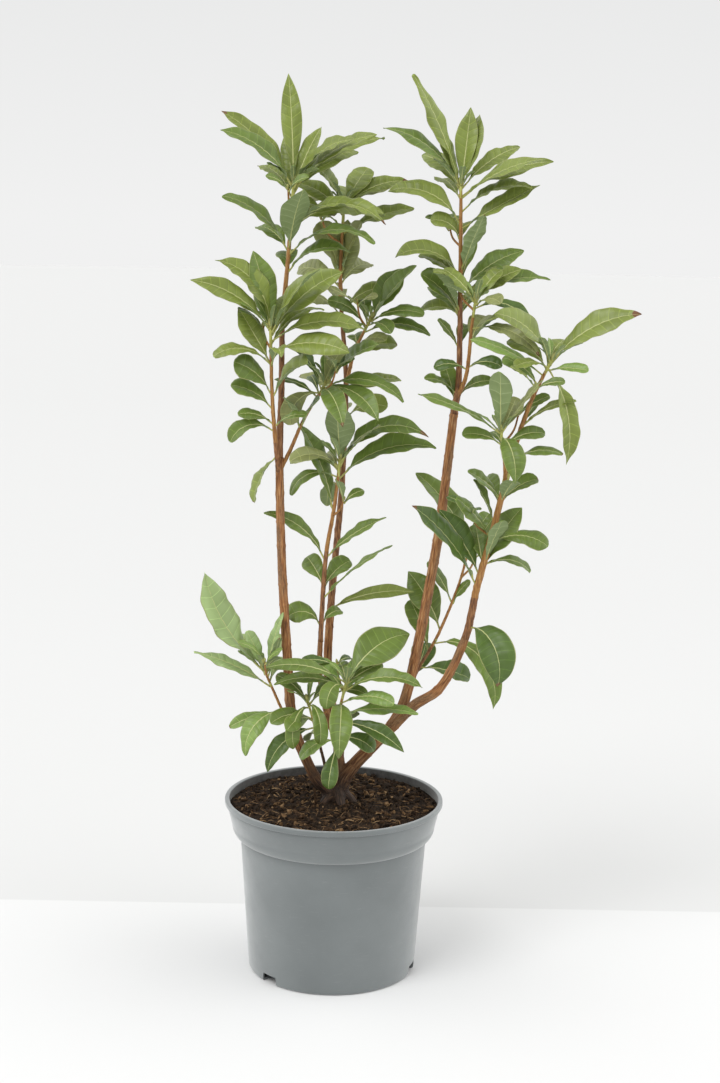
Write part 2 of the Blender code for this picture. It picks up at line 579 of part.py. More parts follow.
def midrib(leaf, share):
    """A point of the midrib, and the blade's forward, side and up directions there."""
    spans = 12
    place = Vector(leaf.foot)
    outward = heading(leaf.bearing)
    forward = outward
    for n in range(spans + 1):
        reached = share * n / spans
        rise = math.radians(leaf.rise - leaf.arch * reached ** 1.2)
        turn = heading(leaf.bearing + leaf.sway * reached)
        forward = turn * math.cos(rise) + Vector((0, 0, math.sin(rise)))
        if n:
            place = place + forward * (leaf.length * share / spans)
        outward = turn
    side = outward.cross(Vector((0, 0, 1))).normalized()
    up = side.cross(forward).normalized()
    roll = math.radians(leaf.roll * min(1.0, share * 2.5))
    rolled_side = side * math.cos(roll) - up * math.sin(roll)
    rolled_up = up * math.cos(roll) + side * math.sin(roll)
    return place, forward, rolled_side, rolled_up


def leaf_shape(leaf, margin=0.0, start=0):
    """Corner points and faces of one leaf: keeled three-sided sections lofted to a point."""
    thickness = max(LEAF_LEAST_THICKNESS, leaf.length * LEAF_THICK_SHARE) + 2 * margin
    sections = LEAF_SECTIONS[start:]
    points = []
    for share in sections:
        place, forward, side, up = midrib(leaf, share)
        half = max(PETIOLE_HALF_WIDTH, leaf.width / 2 * outline(share)) + margin
        lift = up * (half * LEAF_FOLD * min(1.0, share * 4) + thickness / 2)
        points += [place - side * half + lift, place + side * half + lift, place - up * thickness / 2]
    place, forward, side, up = midrib(leaf, 1.0)
    points.append(place + forward * margin)
    last = len(points) - 1
    faces = [(2, 1, 0)]
    for ring in range(len(sections) - 1):
        for side in range(3):
            a = ring * 3 + side
            b = ring * 3 + (side + 1) % 3
            faces.append((a, b, b + 3, a + 3))
    for side in range(3):
        faces.append((last - 3 + side, last - 3 + (side + 1) % 3, last))
    return points, faces


def point_at_height(path, height):
    for low, high in zip(path, path[1:]):
        if high.z >= height:
            share = (height - low.z) / (high.z - low.z)
            return low.lerp(high, max(0.0, share))
    return path[-1]


def leaf_foot(path, height, bearing):
    """A leaf starts inside the shoot, on the side that it leaves by."""
    return point_at_height(path, height) + heading(bearing) * FOOT_OFFSET


def face_roll(bearing):
    """A leaf that points left or right is turned about its midrib, so that its face looks to the front."""
    return FACE_TURN * math.sin(math.radians(bearing))


def fan_leaves(fan, path, chance):
    """The leaves of one fan, spread between two bearings and stepping down the shoot."""
    spread = fan.last - fan.first
    for number in range(fan.leaves):
        share = number / max(1, fan.leaves - 1)
        bearing = fan.first + spread * share + chance.uniform(-4, 4)
        foot = leaf_foot(path, fan.height - number * LEAF_PITCH, bearing)
        width = fan.width or fan.length * LEAF_WIDTH_SHARE
        yield Leaf(foot, bearing, fan.rise + chance.uniform(-4, 4), fan.arch + chance.uniform(-8, 8),
                   chance.uniform(-16, 16), face_roll(bearing) + chance.uniform(-12, 12),
                   fan.length * chance.uniform(0.94, 1.04), width * chance.uniform(0.95, 1.05))


def side_twigs(mass, path, chance):
    """Short twigs at seeded heights, each with its path and its own small leaves."""
    low = path[0].z
    high = path[-1].z
    for number in range(mass.twigs):
        share = TWIG_LOWEST + (TWIG_HIGHEST - TWIG_LOWEST) * (number + chance.random()) / mass.twigs
        height = low + (high - low) * share
        bearing = chance.uniform(0, 360)
        foot = point_at_height(path, height)
        outward = heading(bearing)
        length = TWIG_LENGTH * chance.uniform(0.7, 1.2)
        twig = [foot, foot + outward * length * 0.6 + Vector((0, 0, length * 0.45)),
                foot + outward * length * 0.85 + Vector((0, 0, length))]
        leaves = []
        for leaf in range(2):
            leaf_bearing = bearing + leaf * 137.5 - 60
            leaves.append(Leaf(twig[-1] - Vector((0, 0, 0.001 + LEAF_PITCH * leaf)), leaf_bearing,
                               chance.uniform(25, 60), chance.uniform(20, 60), chance.uniform(-15, 15),
                               face_roll(leaf_bearing), TWIG_LEAF_LENGTH * chance.uniform(0.7, 1.15),
                               TWIG_LEAF_WIDTH * chance.uniform(0.8, 1.1)))
        yield twig, leaves


def mesh_tree(parts):
    """A search tree over corner points and faces of many small shapes."""
    points = []
    faces = []
    for part_points, part_faces in parts:
        start = len(points)
        points += part_points
        faces += [tuple(index + start for index in face) for face in part_faces]
    return BVHTree.FromPolygons(points, faces)


def object_shape(obj):
    points = [obj.matrix_world @ vertex.co for vertex in obj.data.vertices]
    return points, [tuple(face.vertices) for face in obj.data.polygons]


def clear_leaf(leaf, others, blades):
    """The leaf, turned aside if it must be, so that it keeps clear of the others. None where it can't.

    A leaf that can also miss the blades of its own mass is preferred."""
    own = mesh_tree(blades) if blades else None
    kept = None
    for turn in SIDE_STEPS:
        tried = leaf._replace(bearing=leaf.bearing + turn)
        lowest = min(midrib(tried, share)[0].z for share in (0.5, 1.0))
        if lowest < LEAF_LOWEST or mesh_tree([leaf_shape(tried, LEAF_CLEARANCE)]).overlap(others):
            continue
        if not own or not mesh_tree([leaf_shape(tried, 0.0, 1)]).overlap(own):
            return tried
        kept = kept or tried
    return kept


def loose_leaf(name, leaf, collection):
    points, faces = leaf_shape(leaf)
    mesh = bpy.data.meshes.new(name)
    mesh.from_pydata(points, [], faces)
    shape = bmesh.new()
    shape.from_mesh(mesh)
    bmesh.ops.recalc_face_normals(shape, faces=shape.faces)
    bmesh.ops.triangulate(shape, faces=shape.faces)
    shape.to_mesh(mesh)
    shape.free()
    return new_object(name, mesh, collection)


def grow_mass(mass, others):
    """Twigs and leaves that one mass can hold: its own list of twig paths and of leaves."""
    chance = random.Random(mass.seed)
    limb = next(each for each in SHOOTS if each.name == mass.stem)
    path = limb_path(limb, 0.0)[0]
    wanted = [leaf for fan in mass.fans for leaf in fan_leaves(fan, path, chance)]
    twigs = []
    for twig, leaves in side_twigs(mass, path, chance):
        if not mesh_tree([twig_shape(twig)]).overlap(others):
            twigs.append(twig)
            wanted += leaves
    leaves = []
    blades = []
    for leaf in wanted:
        kept = clear_leaf(leaf, others, blades)
        if kept:
            leaves.append(kept)
            blades.append(leaf_shape(kept, 0.0, 1))
    return twigs, leaves


def twig_shape(twig):
    """A three-sided prism along a twig, for the clearance test."""
    points = []
    for centre in twig:
        for turn in range(3):
            points.append(centre + heading(turn * 120) * (TWIG_RADIUS + LEAF_CLEARANCE))
    faces = []
    for ring in range(len(twig) - 1):
        for side in range(3):
            a = ring * 3 + side
            b = ring * 3 + (side + 1) % 3
            faces.append((a, b, b + 3, a + 3))
    return points, faces


def make_mass(mass, stem, others, material):
    """Fuses one mass: its stem, twigs and leaves become a single solid."""
    twigs, leaves = grow_mass(mass, others)
    merged = bpy.data.collections.new(mass.stem + "_parts")
    bpy.context.scene.collection.children.link(merged)
    for number, twig in enumerate(twigs):
        radii = [TWIG_RADIUS * 1.2, TWIG_RADIUS, TWIG_RADIUS * 0.9]
        tube("%s_twig_%d" % (mass.stem, number), twig, radii, merged, SHOOT_ROUNDNESS)
    for number, leaf in enumerate(leaves):
        loose_leaf("%s_leaf_%d" % (mass.stem, number), leaf, merged)
    fuse(stem, merged)
    keep_largest_body(stem.data)
    stem.data.materials.clear()
    stem.data.materials.append(material)
    return [twig_shape(twig) for twig in twigs] + [leaf_shape(leaf) for leaf in leaves]


# Pot and soil

def turned(name, profile, collection):
    """A profile of (radius, height) points turned about the pot's axis."""
    mesh = bpy.data.meshes.new(name)
    points = [(radius, 0.0, height) for radius, height in profile]
    mesh.from_pydata(points, [(n, n + 1) for n in range(len(points) - 1)], [])
    obj = new_object(name, mesh, collection)
    screw = obj.modifiers.new("turn", "SCREW")
    screw.axis = "Z"
    screw.angle = math.tau
    screw.steps = POT_SEGMENTS
    screw.render_steps = POT_SEGMENTS
    screw.use_merge_vertices = True
    screw.merge_threshold = 0.00001
    return obj


def make_pot(collection, cutters):
    lip = POT_LIP_DEPTH
    inner_top = POT_BAND_TOP_RADIUS - POT_WALL
    outer = [
        (POT_RIM_RADIUS - 0.0012, POT_HEIGHT),
        (POT_RIM_RADIUS, POT_HEIGHT - 0.0015),
        (POT_RIM_RADIUS, POT_HEIGHT - lip + 0.0012),
        (POT_BAND_TOP_RADIUS + 0.0004, POT_HEIGHT - lip),
        (POT_BAND_TOP_RADIUS, POT_HEIGHT - lip - 0.002),
        (POT_BAND_BOTTOM_RADIUS, POT_BAND_BOTTOM),
    ]
    for n in range(1, 4):
        turn = math.pi / 2 * n / 4
        outer.append((POT_SHOULDER_RADIUS + (POT_BAND_BOTTOM_RADIUS - POT_SHOULDER_RADIUS) * math.cos(turn),
                      POT_BAND_BOTTOM - (POT_BAND_BOTTOM - POT_SHOULDER) * math.sin(turn)))
    outer.append((POT_SHOULDER_RADIUS, POT_SHOULDER))
    outer.append((POT_FOOT_RADIUS, POT_FOOT_CHAMFER * 3))
    outer.append((POT_FOOT_RADIUS - POT_FOOT_CHAMFER * 0.5, POT_FOOT_CHAMFER))
    outer.append((POT_FOOT_RADIUS - POT_FOOT_CHAMFER, 0.0))
    inner = [
        (POT_FOOT_RADIUS - POT_WALL - 0.0004, POT_FLOOR),
        (POT_SHOULDER_RADIUS - POT_WALL, POT_SHOULDER),
        (POT_BAND_BOTTOM_RADIUS - POT_WALL, POT_BAND_BOTTOM),
        (inner_top, POT_HEIGHT - lip - 0.002),
        (inner_top + 0.0004, POT_HEIGHT),
    ]
    profile = [(0.0, POT_FLOOR)] + inner + outer + [(0.0, 0.0)]
    pot = turned("pot", profile, collection)
    pot.data.materials.append(named_material("pot"))
    notches = []
    for number in range(NOTCH_COUNT):
        bearing = NOTCH_FIRST_BEARING + number * 360 / NOTCH_COUNT
        middle = heading(bearing) * (POT_FOOT_RADIUS - NOTCH_DEPTH / 2 + 0.005)
        bpy.ops.mesh.primitive_cube_add(size=1.0, location=(middle.x, middle.y, 0.0),
                                        rotation=(0.0, 0.0, math.radians(bearing)))
        notch = bpy.context.object
        notch.name = "notch_cutter_%d" % number
        notch.scale = (NOTCH_WIDTH, NOTCH_DEPTH + 0.010, NOTCH_HEIGHT * 2)
        move_to(notch, cutters)
        hide_as_cutter(notch)
        add_boolean(pot, "DIFFERENCE", notch)
        notches.append(notch)
    apply_modifiers(pot)
    remove_objects(notches)
    keep_largest_body(pot.data)
    finish_round(pot.data)
    return pot, inner


def make_soil(collection, inner):
    """The peat that fills the pot, a little lower at the wall."""
    clear = POT_WALL + GAP
    (foot_radius, foot), (shoulder_radius, shoulder), (band_radius, band) = inner[:3]
    top_share = (SOIL_TOP - SOIL_EDGE_DROP - band) / (inner[3][1] - band)
    top_radius = band_radius + (inner[3][0] - band_radius) * top_share
    profile = [
        (0.0, SOIL_TOP),
        (0.045, SOIL_TOP),
        (0.085, SOIL_TOP - SOIL_EDGE_DROP * 0.5),
        (top_radius - clear + POT_WALL, SOIL_TOP - SOIL_EDGE_DROP),
        (band_radius - clear + POT_WALL, band),
        (shoulder_radius - clear + POT_WALL - 0.0004, shoulder),
        (foot_radius - clear + POT_WALL, NOTCH_HEIGHT + GAP),
        (foot_radius - NOTCH_DEPTH - GAP, NOTCH_HEIGHT + GAP),
        (foot_radius - NOTCH_DEPTH - GAP, POT_FLOOR + GAP),
        (0.0, POT_FLOOR + GAP),
    ]
    soil = turned("soil", profile, collection)
    soil.data.materials.append(named_material("soil"))
    apply_modifiers(soil)
    finish_round(soil.data)
    return soil


def finish_round(mesh):
    mesh.shade_smooth()
    mesh.set_sharp_from_angle(angle=math.radians(30))


def main():
    for obj in list(bpy.data.objects):
        bpy.data.objects.remove(obj)
    parts = bpy.data.collections.new(OBJECT_NAME)
    cutters = bpy.data.collections.new("cutters")
    for collection in (parts, cutters):
        bpy.context.scene.collection.children.link(collection)
    bark = named_material("bark")
    leaf_green = named_material("leaf")

    pot, inner = make_pot(parts, cutters)
    soil = make_soil(parts, inner)
    trunk = make_trunk(parts, cutters)
    boughs = [make_limb(limb, parts, cutters, foot_trim=0.0 if limb.clear_of else GAP) for limb in BOUGHS]
    for limb in [trunk] + boughs:
        limb.data.materials.clear()
        limb.data.materials.append(bark)
        finish_round(limb.data)
    stems = {}
    for limb in SHOOTS:
        stems[limb.name] = make_limb(limb, parts, cutters, foot_trim=0.0 if limb.clear_of else GAP)

    fixed = {obj.name: object_shape(obj) for obj in [pot, soil, trunk] + boughs + list(stems.values())}
    grown = {}
    for mass in MASSES:
        others = [shape for name, shape in fixed.items() if name != mass.stem]
        others += [shape for name, shapes in grown.items() for shape in shapes]
        grown[mass.stem] = make_mass(mass, stems[mass.stem], mesh_tree(others), leaf_green)


main()
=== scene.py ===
# The looks of a young potted rhododendron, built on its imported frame.
# Metres, +Z up. The origin is the middle of the pot's flat underside, and the front of the plant faces -Y.
# Bearings are degrees from the front, turning to the right: 0 is the front, 90 is +X, 180 is the back.

import math
import random
from collections import namedtuple

import bmesh
import bpy
import numpy as np
from bpy.props import FloatProperty, FloatVectorProperty, IntProperty, PointerProperty
from mathutils import Matrix, Vector, noise
from mathutils.bvhtree import BVHTree
from mathutils.kdtree import KDTree


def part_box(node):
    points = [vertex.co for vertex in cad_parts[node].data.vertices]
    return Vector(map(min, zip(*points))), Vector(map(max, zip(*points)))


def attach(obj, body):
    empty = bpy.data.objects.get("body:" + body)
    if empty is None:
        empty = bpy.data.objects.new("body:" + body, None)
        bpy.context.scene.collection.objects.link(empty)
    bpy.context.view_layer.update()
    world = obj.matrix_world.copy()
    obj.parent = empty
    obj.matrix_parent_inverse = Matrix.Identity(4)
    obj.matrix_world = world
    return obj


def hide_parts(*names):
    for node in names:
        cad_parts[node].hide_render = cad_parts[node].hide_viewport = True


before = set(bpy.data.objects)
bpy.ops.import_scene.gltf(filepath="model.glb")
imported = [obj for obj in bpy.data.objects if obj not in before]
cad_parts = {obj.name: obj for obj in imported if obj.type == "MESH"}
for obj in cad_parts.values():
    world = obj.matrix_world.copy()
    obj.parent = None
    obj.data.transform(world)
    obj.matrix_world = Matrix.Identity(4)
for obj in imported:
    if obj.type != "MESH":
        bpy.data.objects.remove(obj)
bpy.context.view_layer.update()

bl_info = {
    "name": "Potted rhododendron",
    "version": (1, 0, 0),
    "blender": (4, 5, 0),
    "location": "3D View > Sidebar > Rhododendron",
    "description": "Dresses a potted rhododendron: pot, peat, bark, shoots, leaves and stage",
    "category": "Add Mesh",
}

# Driving dimensions, as the frame was built
POT_HEIGHT = 0.178
POT_RIM_RADIUS = 0.1109
POT_LIP_DEPTH = 0.005
POT_EDGE_RADIUS = 0.0010     # rounding of the lip's edges
POT_BAND_TOP_RADIUS = 0.1082
POT_BAND_BOTTOM_RADIUS = 0.1035
POT_BAND_BOTTOM = 0.152
POT_SHOULDER_RADIUS = 0.0948
POT_SHOULDER = 0.140
POT_FOOT_RADIUS = 0.0855
POT_FOOT_CHAMFER = 0.0030
POT_WALL = 0.0018
POT_FLOOR = 0.0025
NOTCH_COUNT = 3
NOTCH_FIRST_BEARING = -47.0
NOTCH_WIDTH = 0.023
NOTCH_HEIGHT = 0.0095
NOTCH_DEPTH = 0.012
SOIL_TOP = 0.171
SOIL_EDGE_DROP = 0.003
GROUND = 0.1713              # where the stump stands on the peat

# How the plant grows
STEPS_PER_SPAN = 4           # path points between two route points
LEAF_PITCH = 0.0022          # drop along the shoot from one leaf of a fan to the next
LEAF_WIDTH_SHARE = 0.23      # width of an ordinary leaf over its length
LEAF_THICK_SHARE = 0.012
LEAF_LEAST_THICKNESS = 0.0010
LEAF_FOLD = 0.34             # how far the blade's edges stand up, over the half width
FACE_TURN = 42.0             # how far a leaf that points sideways turns its upper face to the front
PETIOLE_HALF_WIDTH = 0.0008
FOOT_OFFSET = 0.0007         # from the shoot's axis to the foot of a leaf
LEAF_SECTIONS = (0.0, 0.42, 0.78)
LEAF_WIDEST_POWER = 1.25     # these two powers give the outline, widest past the middle
LEAF_TIP_POWER = 1.05
LEAF_CLEARANCE = 0.0009      # kept to every limb and to the leaves of the other masses
LEAF_LOWEST = POT_HEIGHT + 0.004
SIDE_STEPS = (0, 12, -12, 24, -24, 36, -36)
TWIG_LOWEST = 0.60           # twigs leave the shoot between these shares of its height
TWIG_HIGHEST = 0.92
TWIG_LENGTH = 0.024
TWIG_RADIUS = 0.0011
TWIG_LEAF_LENGTH = 0.036
TWIG_LEAF_WIDTH = 0.0115

# name, route of its centre line, radius at the foot and at the tip,
# and the limbs that its foot is cut clear of
Limb = namedtuple("Limb", "name route foot_radius tip_radius clear_of")

# height of the fan's topmost leaf, number of leaves, leaf length, rise where it leaves the shoot,
# how far it bends down by its tip, bearings of the first and the last leaf,
# and width where it isn't ordinary
Fan = namedtuple("Fan", "height leaves length rise arch first last width", defaults=(None,))

# a shoot's limb, seed, side twigs and fans of leaves
Mass = namedtuple("Mass", "stem seed twigs fans")

Leaf = namedtuple("Leaf", "foot bearing rise arch sway roll length width")

# The limbs of the stump, below the forks
STUMP_LIMBS = (
    Limb("left_stub", ((0.001, 0.002, 0.160), (-0.006, 0.001, 0.184), (-0.021, -0.005, 0.203)),
         0.0095, 0.0057, ()),
    Limb("middle_stub", ((0.002, 0.005, 0.158), (0.005, 0.006, 0.190), (0.004, 0.007, 0.217)),
         0.0095, 0.0060, ()),
    Limb("right_stub", ((0.004, 0.001, 0.162), (0.007, 0.003, 0.190), (0.019, 0.003, 0.210)),
         0.0105, 0.0072, ()),
)
ROOT_BEARINGS = (18, 82, 150, 228, 305)
ROOT_REACH = 0.022
ROOT_RADIUS = 0.0058
ROOT_CROWN = 0.185           # height where the topmost root leaves the stump
ROOT_STEP = 0.0013           # how much lower each next root leaves it
ROOT_INSET = 0.0045          # from the stump's middle to a root's start
STUMP_MIDDLE = Vector((0.003, 0.003, 0.0))

# The boughs, from the forks up to the shoots
BOUGHS = (
    Limb("left_bough", ((-0.021, -0.005, 0.203), (-0.042, -0.011, 0.258), (-0.049, -0.016, 0.335),
                        (-0.055, -0.020, 0.430), (-0.058, -0.020, 0.528)), 0.0055, 0.0040, ()),
    Limb("middle_bough", ((0.004, 0.007, 0.217), (0.003, 0.009, 0.240), (-0.008, 0.016, 0.297),
                          (-0.007, 0.024, 0.362)), 0.0058, 0.0040, ()),
    Limb("far_right_bough", ((0.019, 0.003, 0.210), (0.051, 0.003, 0.245), (0.079, -0.007, 0.277),
                             (0.106, -0.015, 0.300), (0.128, -0.024, 0.352)), 0.0068, 0.0040, ()),
    Limb("middle_front_bough", ((0.003, 0.008, 0.232), (-0.008, 0.001, 0.262), (-0.016, 0.001, 0.305),
                                (-0.016, 0.000, 0.340)), 0.0030, 0.0027, ("middle_bough",)),
    Limb("right_bough", ((0.053, 0.002, 0.246), (0.073, 0.006, 0.290), (0.097, 0.015, 0.423),
                         (0.106, 0.017, 0.499), (0.113, 0.019, 0.570)),
         0.0058, 0.0042, ("far_right_bough",)),
)

# The shoots, each one the stem of a mass
SHOOTS = (
    Limb("left_top", ((-0.058, -0.020, 0.528), (-0.057, -0.014, 0.590), (-0.057, -0.006, 0.658),
                      (-0.052, -0.002, 0.725), (-0.048, 0.000, 0.792)), 0.0036, 0.0015, ()),
    Limb("left_side", ((-0.058, -0.020, 0.510), (-0.061, -0.030, 0.538), (-0.065, -0.034, 0.590),
                       (-0.067, -0.040, 0.656)), 0.0026, 0.0014, ("left_bough", "left_top")),
    Limb("left_fork", ((-0.058, -0.020, 0.514), (-0.047, -0.019, 0.537), (-0.034, -0.014, 0.567),
                       (-0.013, -0.010, 0.602)), 0.0022, 0.0013, ("left_bough", "left_top", "left_side")),
    Limb("middle_back", ((-0.007, 0.024, 0.362), (-0.002, 0.031, 0.430), (0.003, 0.038, 0.500),
                         (0.005, 0.045, 0.600), (-0.002, 0.048, 0.690), (0.000, 0.050, 0.772)),
         0.0039, 0.0015, ()),
    Limb("middle_side", ((0.005, 0.045, 0.592), (0.013, 0.038, 0.628), (0.029, 0.030, 0.662)),
         0.0022, 0.0013, ("middle_back",)),
    Limb("middle_front", ((-0.016, 0.000, 0.340), (-0.012, -0.003, 0.424), (-0.004, -0.007, 0.478),
                          (0.001, -0.010, 0.526)), 0.0026, 0.0015, ()),
    Limb("right_top", ((0.113, 0.019, 0.570), (0.117, 0.020, 0.605), (0.116, 0.020, 0.700),
                       (0.114, 0.020, 0.794)), 0.0039, 0.0015, ()),
    Limb("right_side", ((0.115, 0.0195, 0.583), (0.124, 0.009, 0.611), (0.127, 0.001, 0.655),
                        (0.130, -0.005, 0.684)), 0.0023, 0.0013, ("right_top",)),
    Limb("far_right", ((0.128, -0.024, 0.352), (0.138, -0.028, 0.405), (0.150, -0.032, 0.455),
                       (0.164, -0.035, 0.519)), 0.0039, 0.0030, ()),
    Limb("far_right_top", ((0.164, -0.035, 0.519), (0.174, -0.033, 0.557), (0.186, -0.031, 0.592),
                           (0.203, -0.030, 0.628)), 0.0029, 0.0015, ()),
    Limb("far_right_side", ((0.162, -0.034, 0.505), (0.160, -0.043, 0.530), (0.155, -0.046, 0.562)),
         0.0021, 0.0014, ("far_right", "far_right_top")),
    Limb("right_inner", ((0.068, 0.004, 0.279), (0.083, 0.015, 0.309), (0.102, 0.022, 0.342),
                         (0.122, 0.028, 0.392), (0.134, 0.032, 0.438)), 0.0020, 0.0012,
         ("right_bough", "far_right_bough")),
    Limb("low_left", ((-0.039, -0.010, 0.243), (-0.051, -0.021, 0.270), (-0.071, -0.030, 0.318)),
         0.0017, 0.0012, ("left_bough",)),
    Limb("low_centre", ((0.002, -0.003, 0.192), (0.002, -0.020, 0.228), (0.004, -0.030, 0.272),
                        (0.011, -0.040, 0.309)), 0.0020, 0.0013, ("left_stub", "middle_stub", "right_stub")),
    Limb("low_front", ((-0.005, 0.000, 0.191), (-0.014, -0.018, 0.235), (-0.027, -0.030, 0.286)),
         0.0017, 0.0012, ("left_stub", "middle_stub", "right_stub", "left_bough")),
)

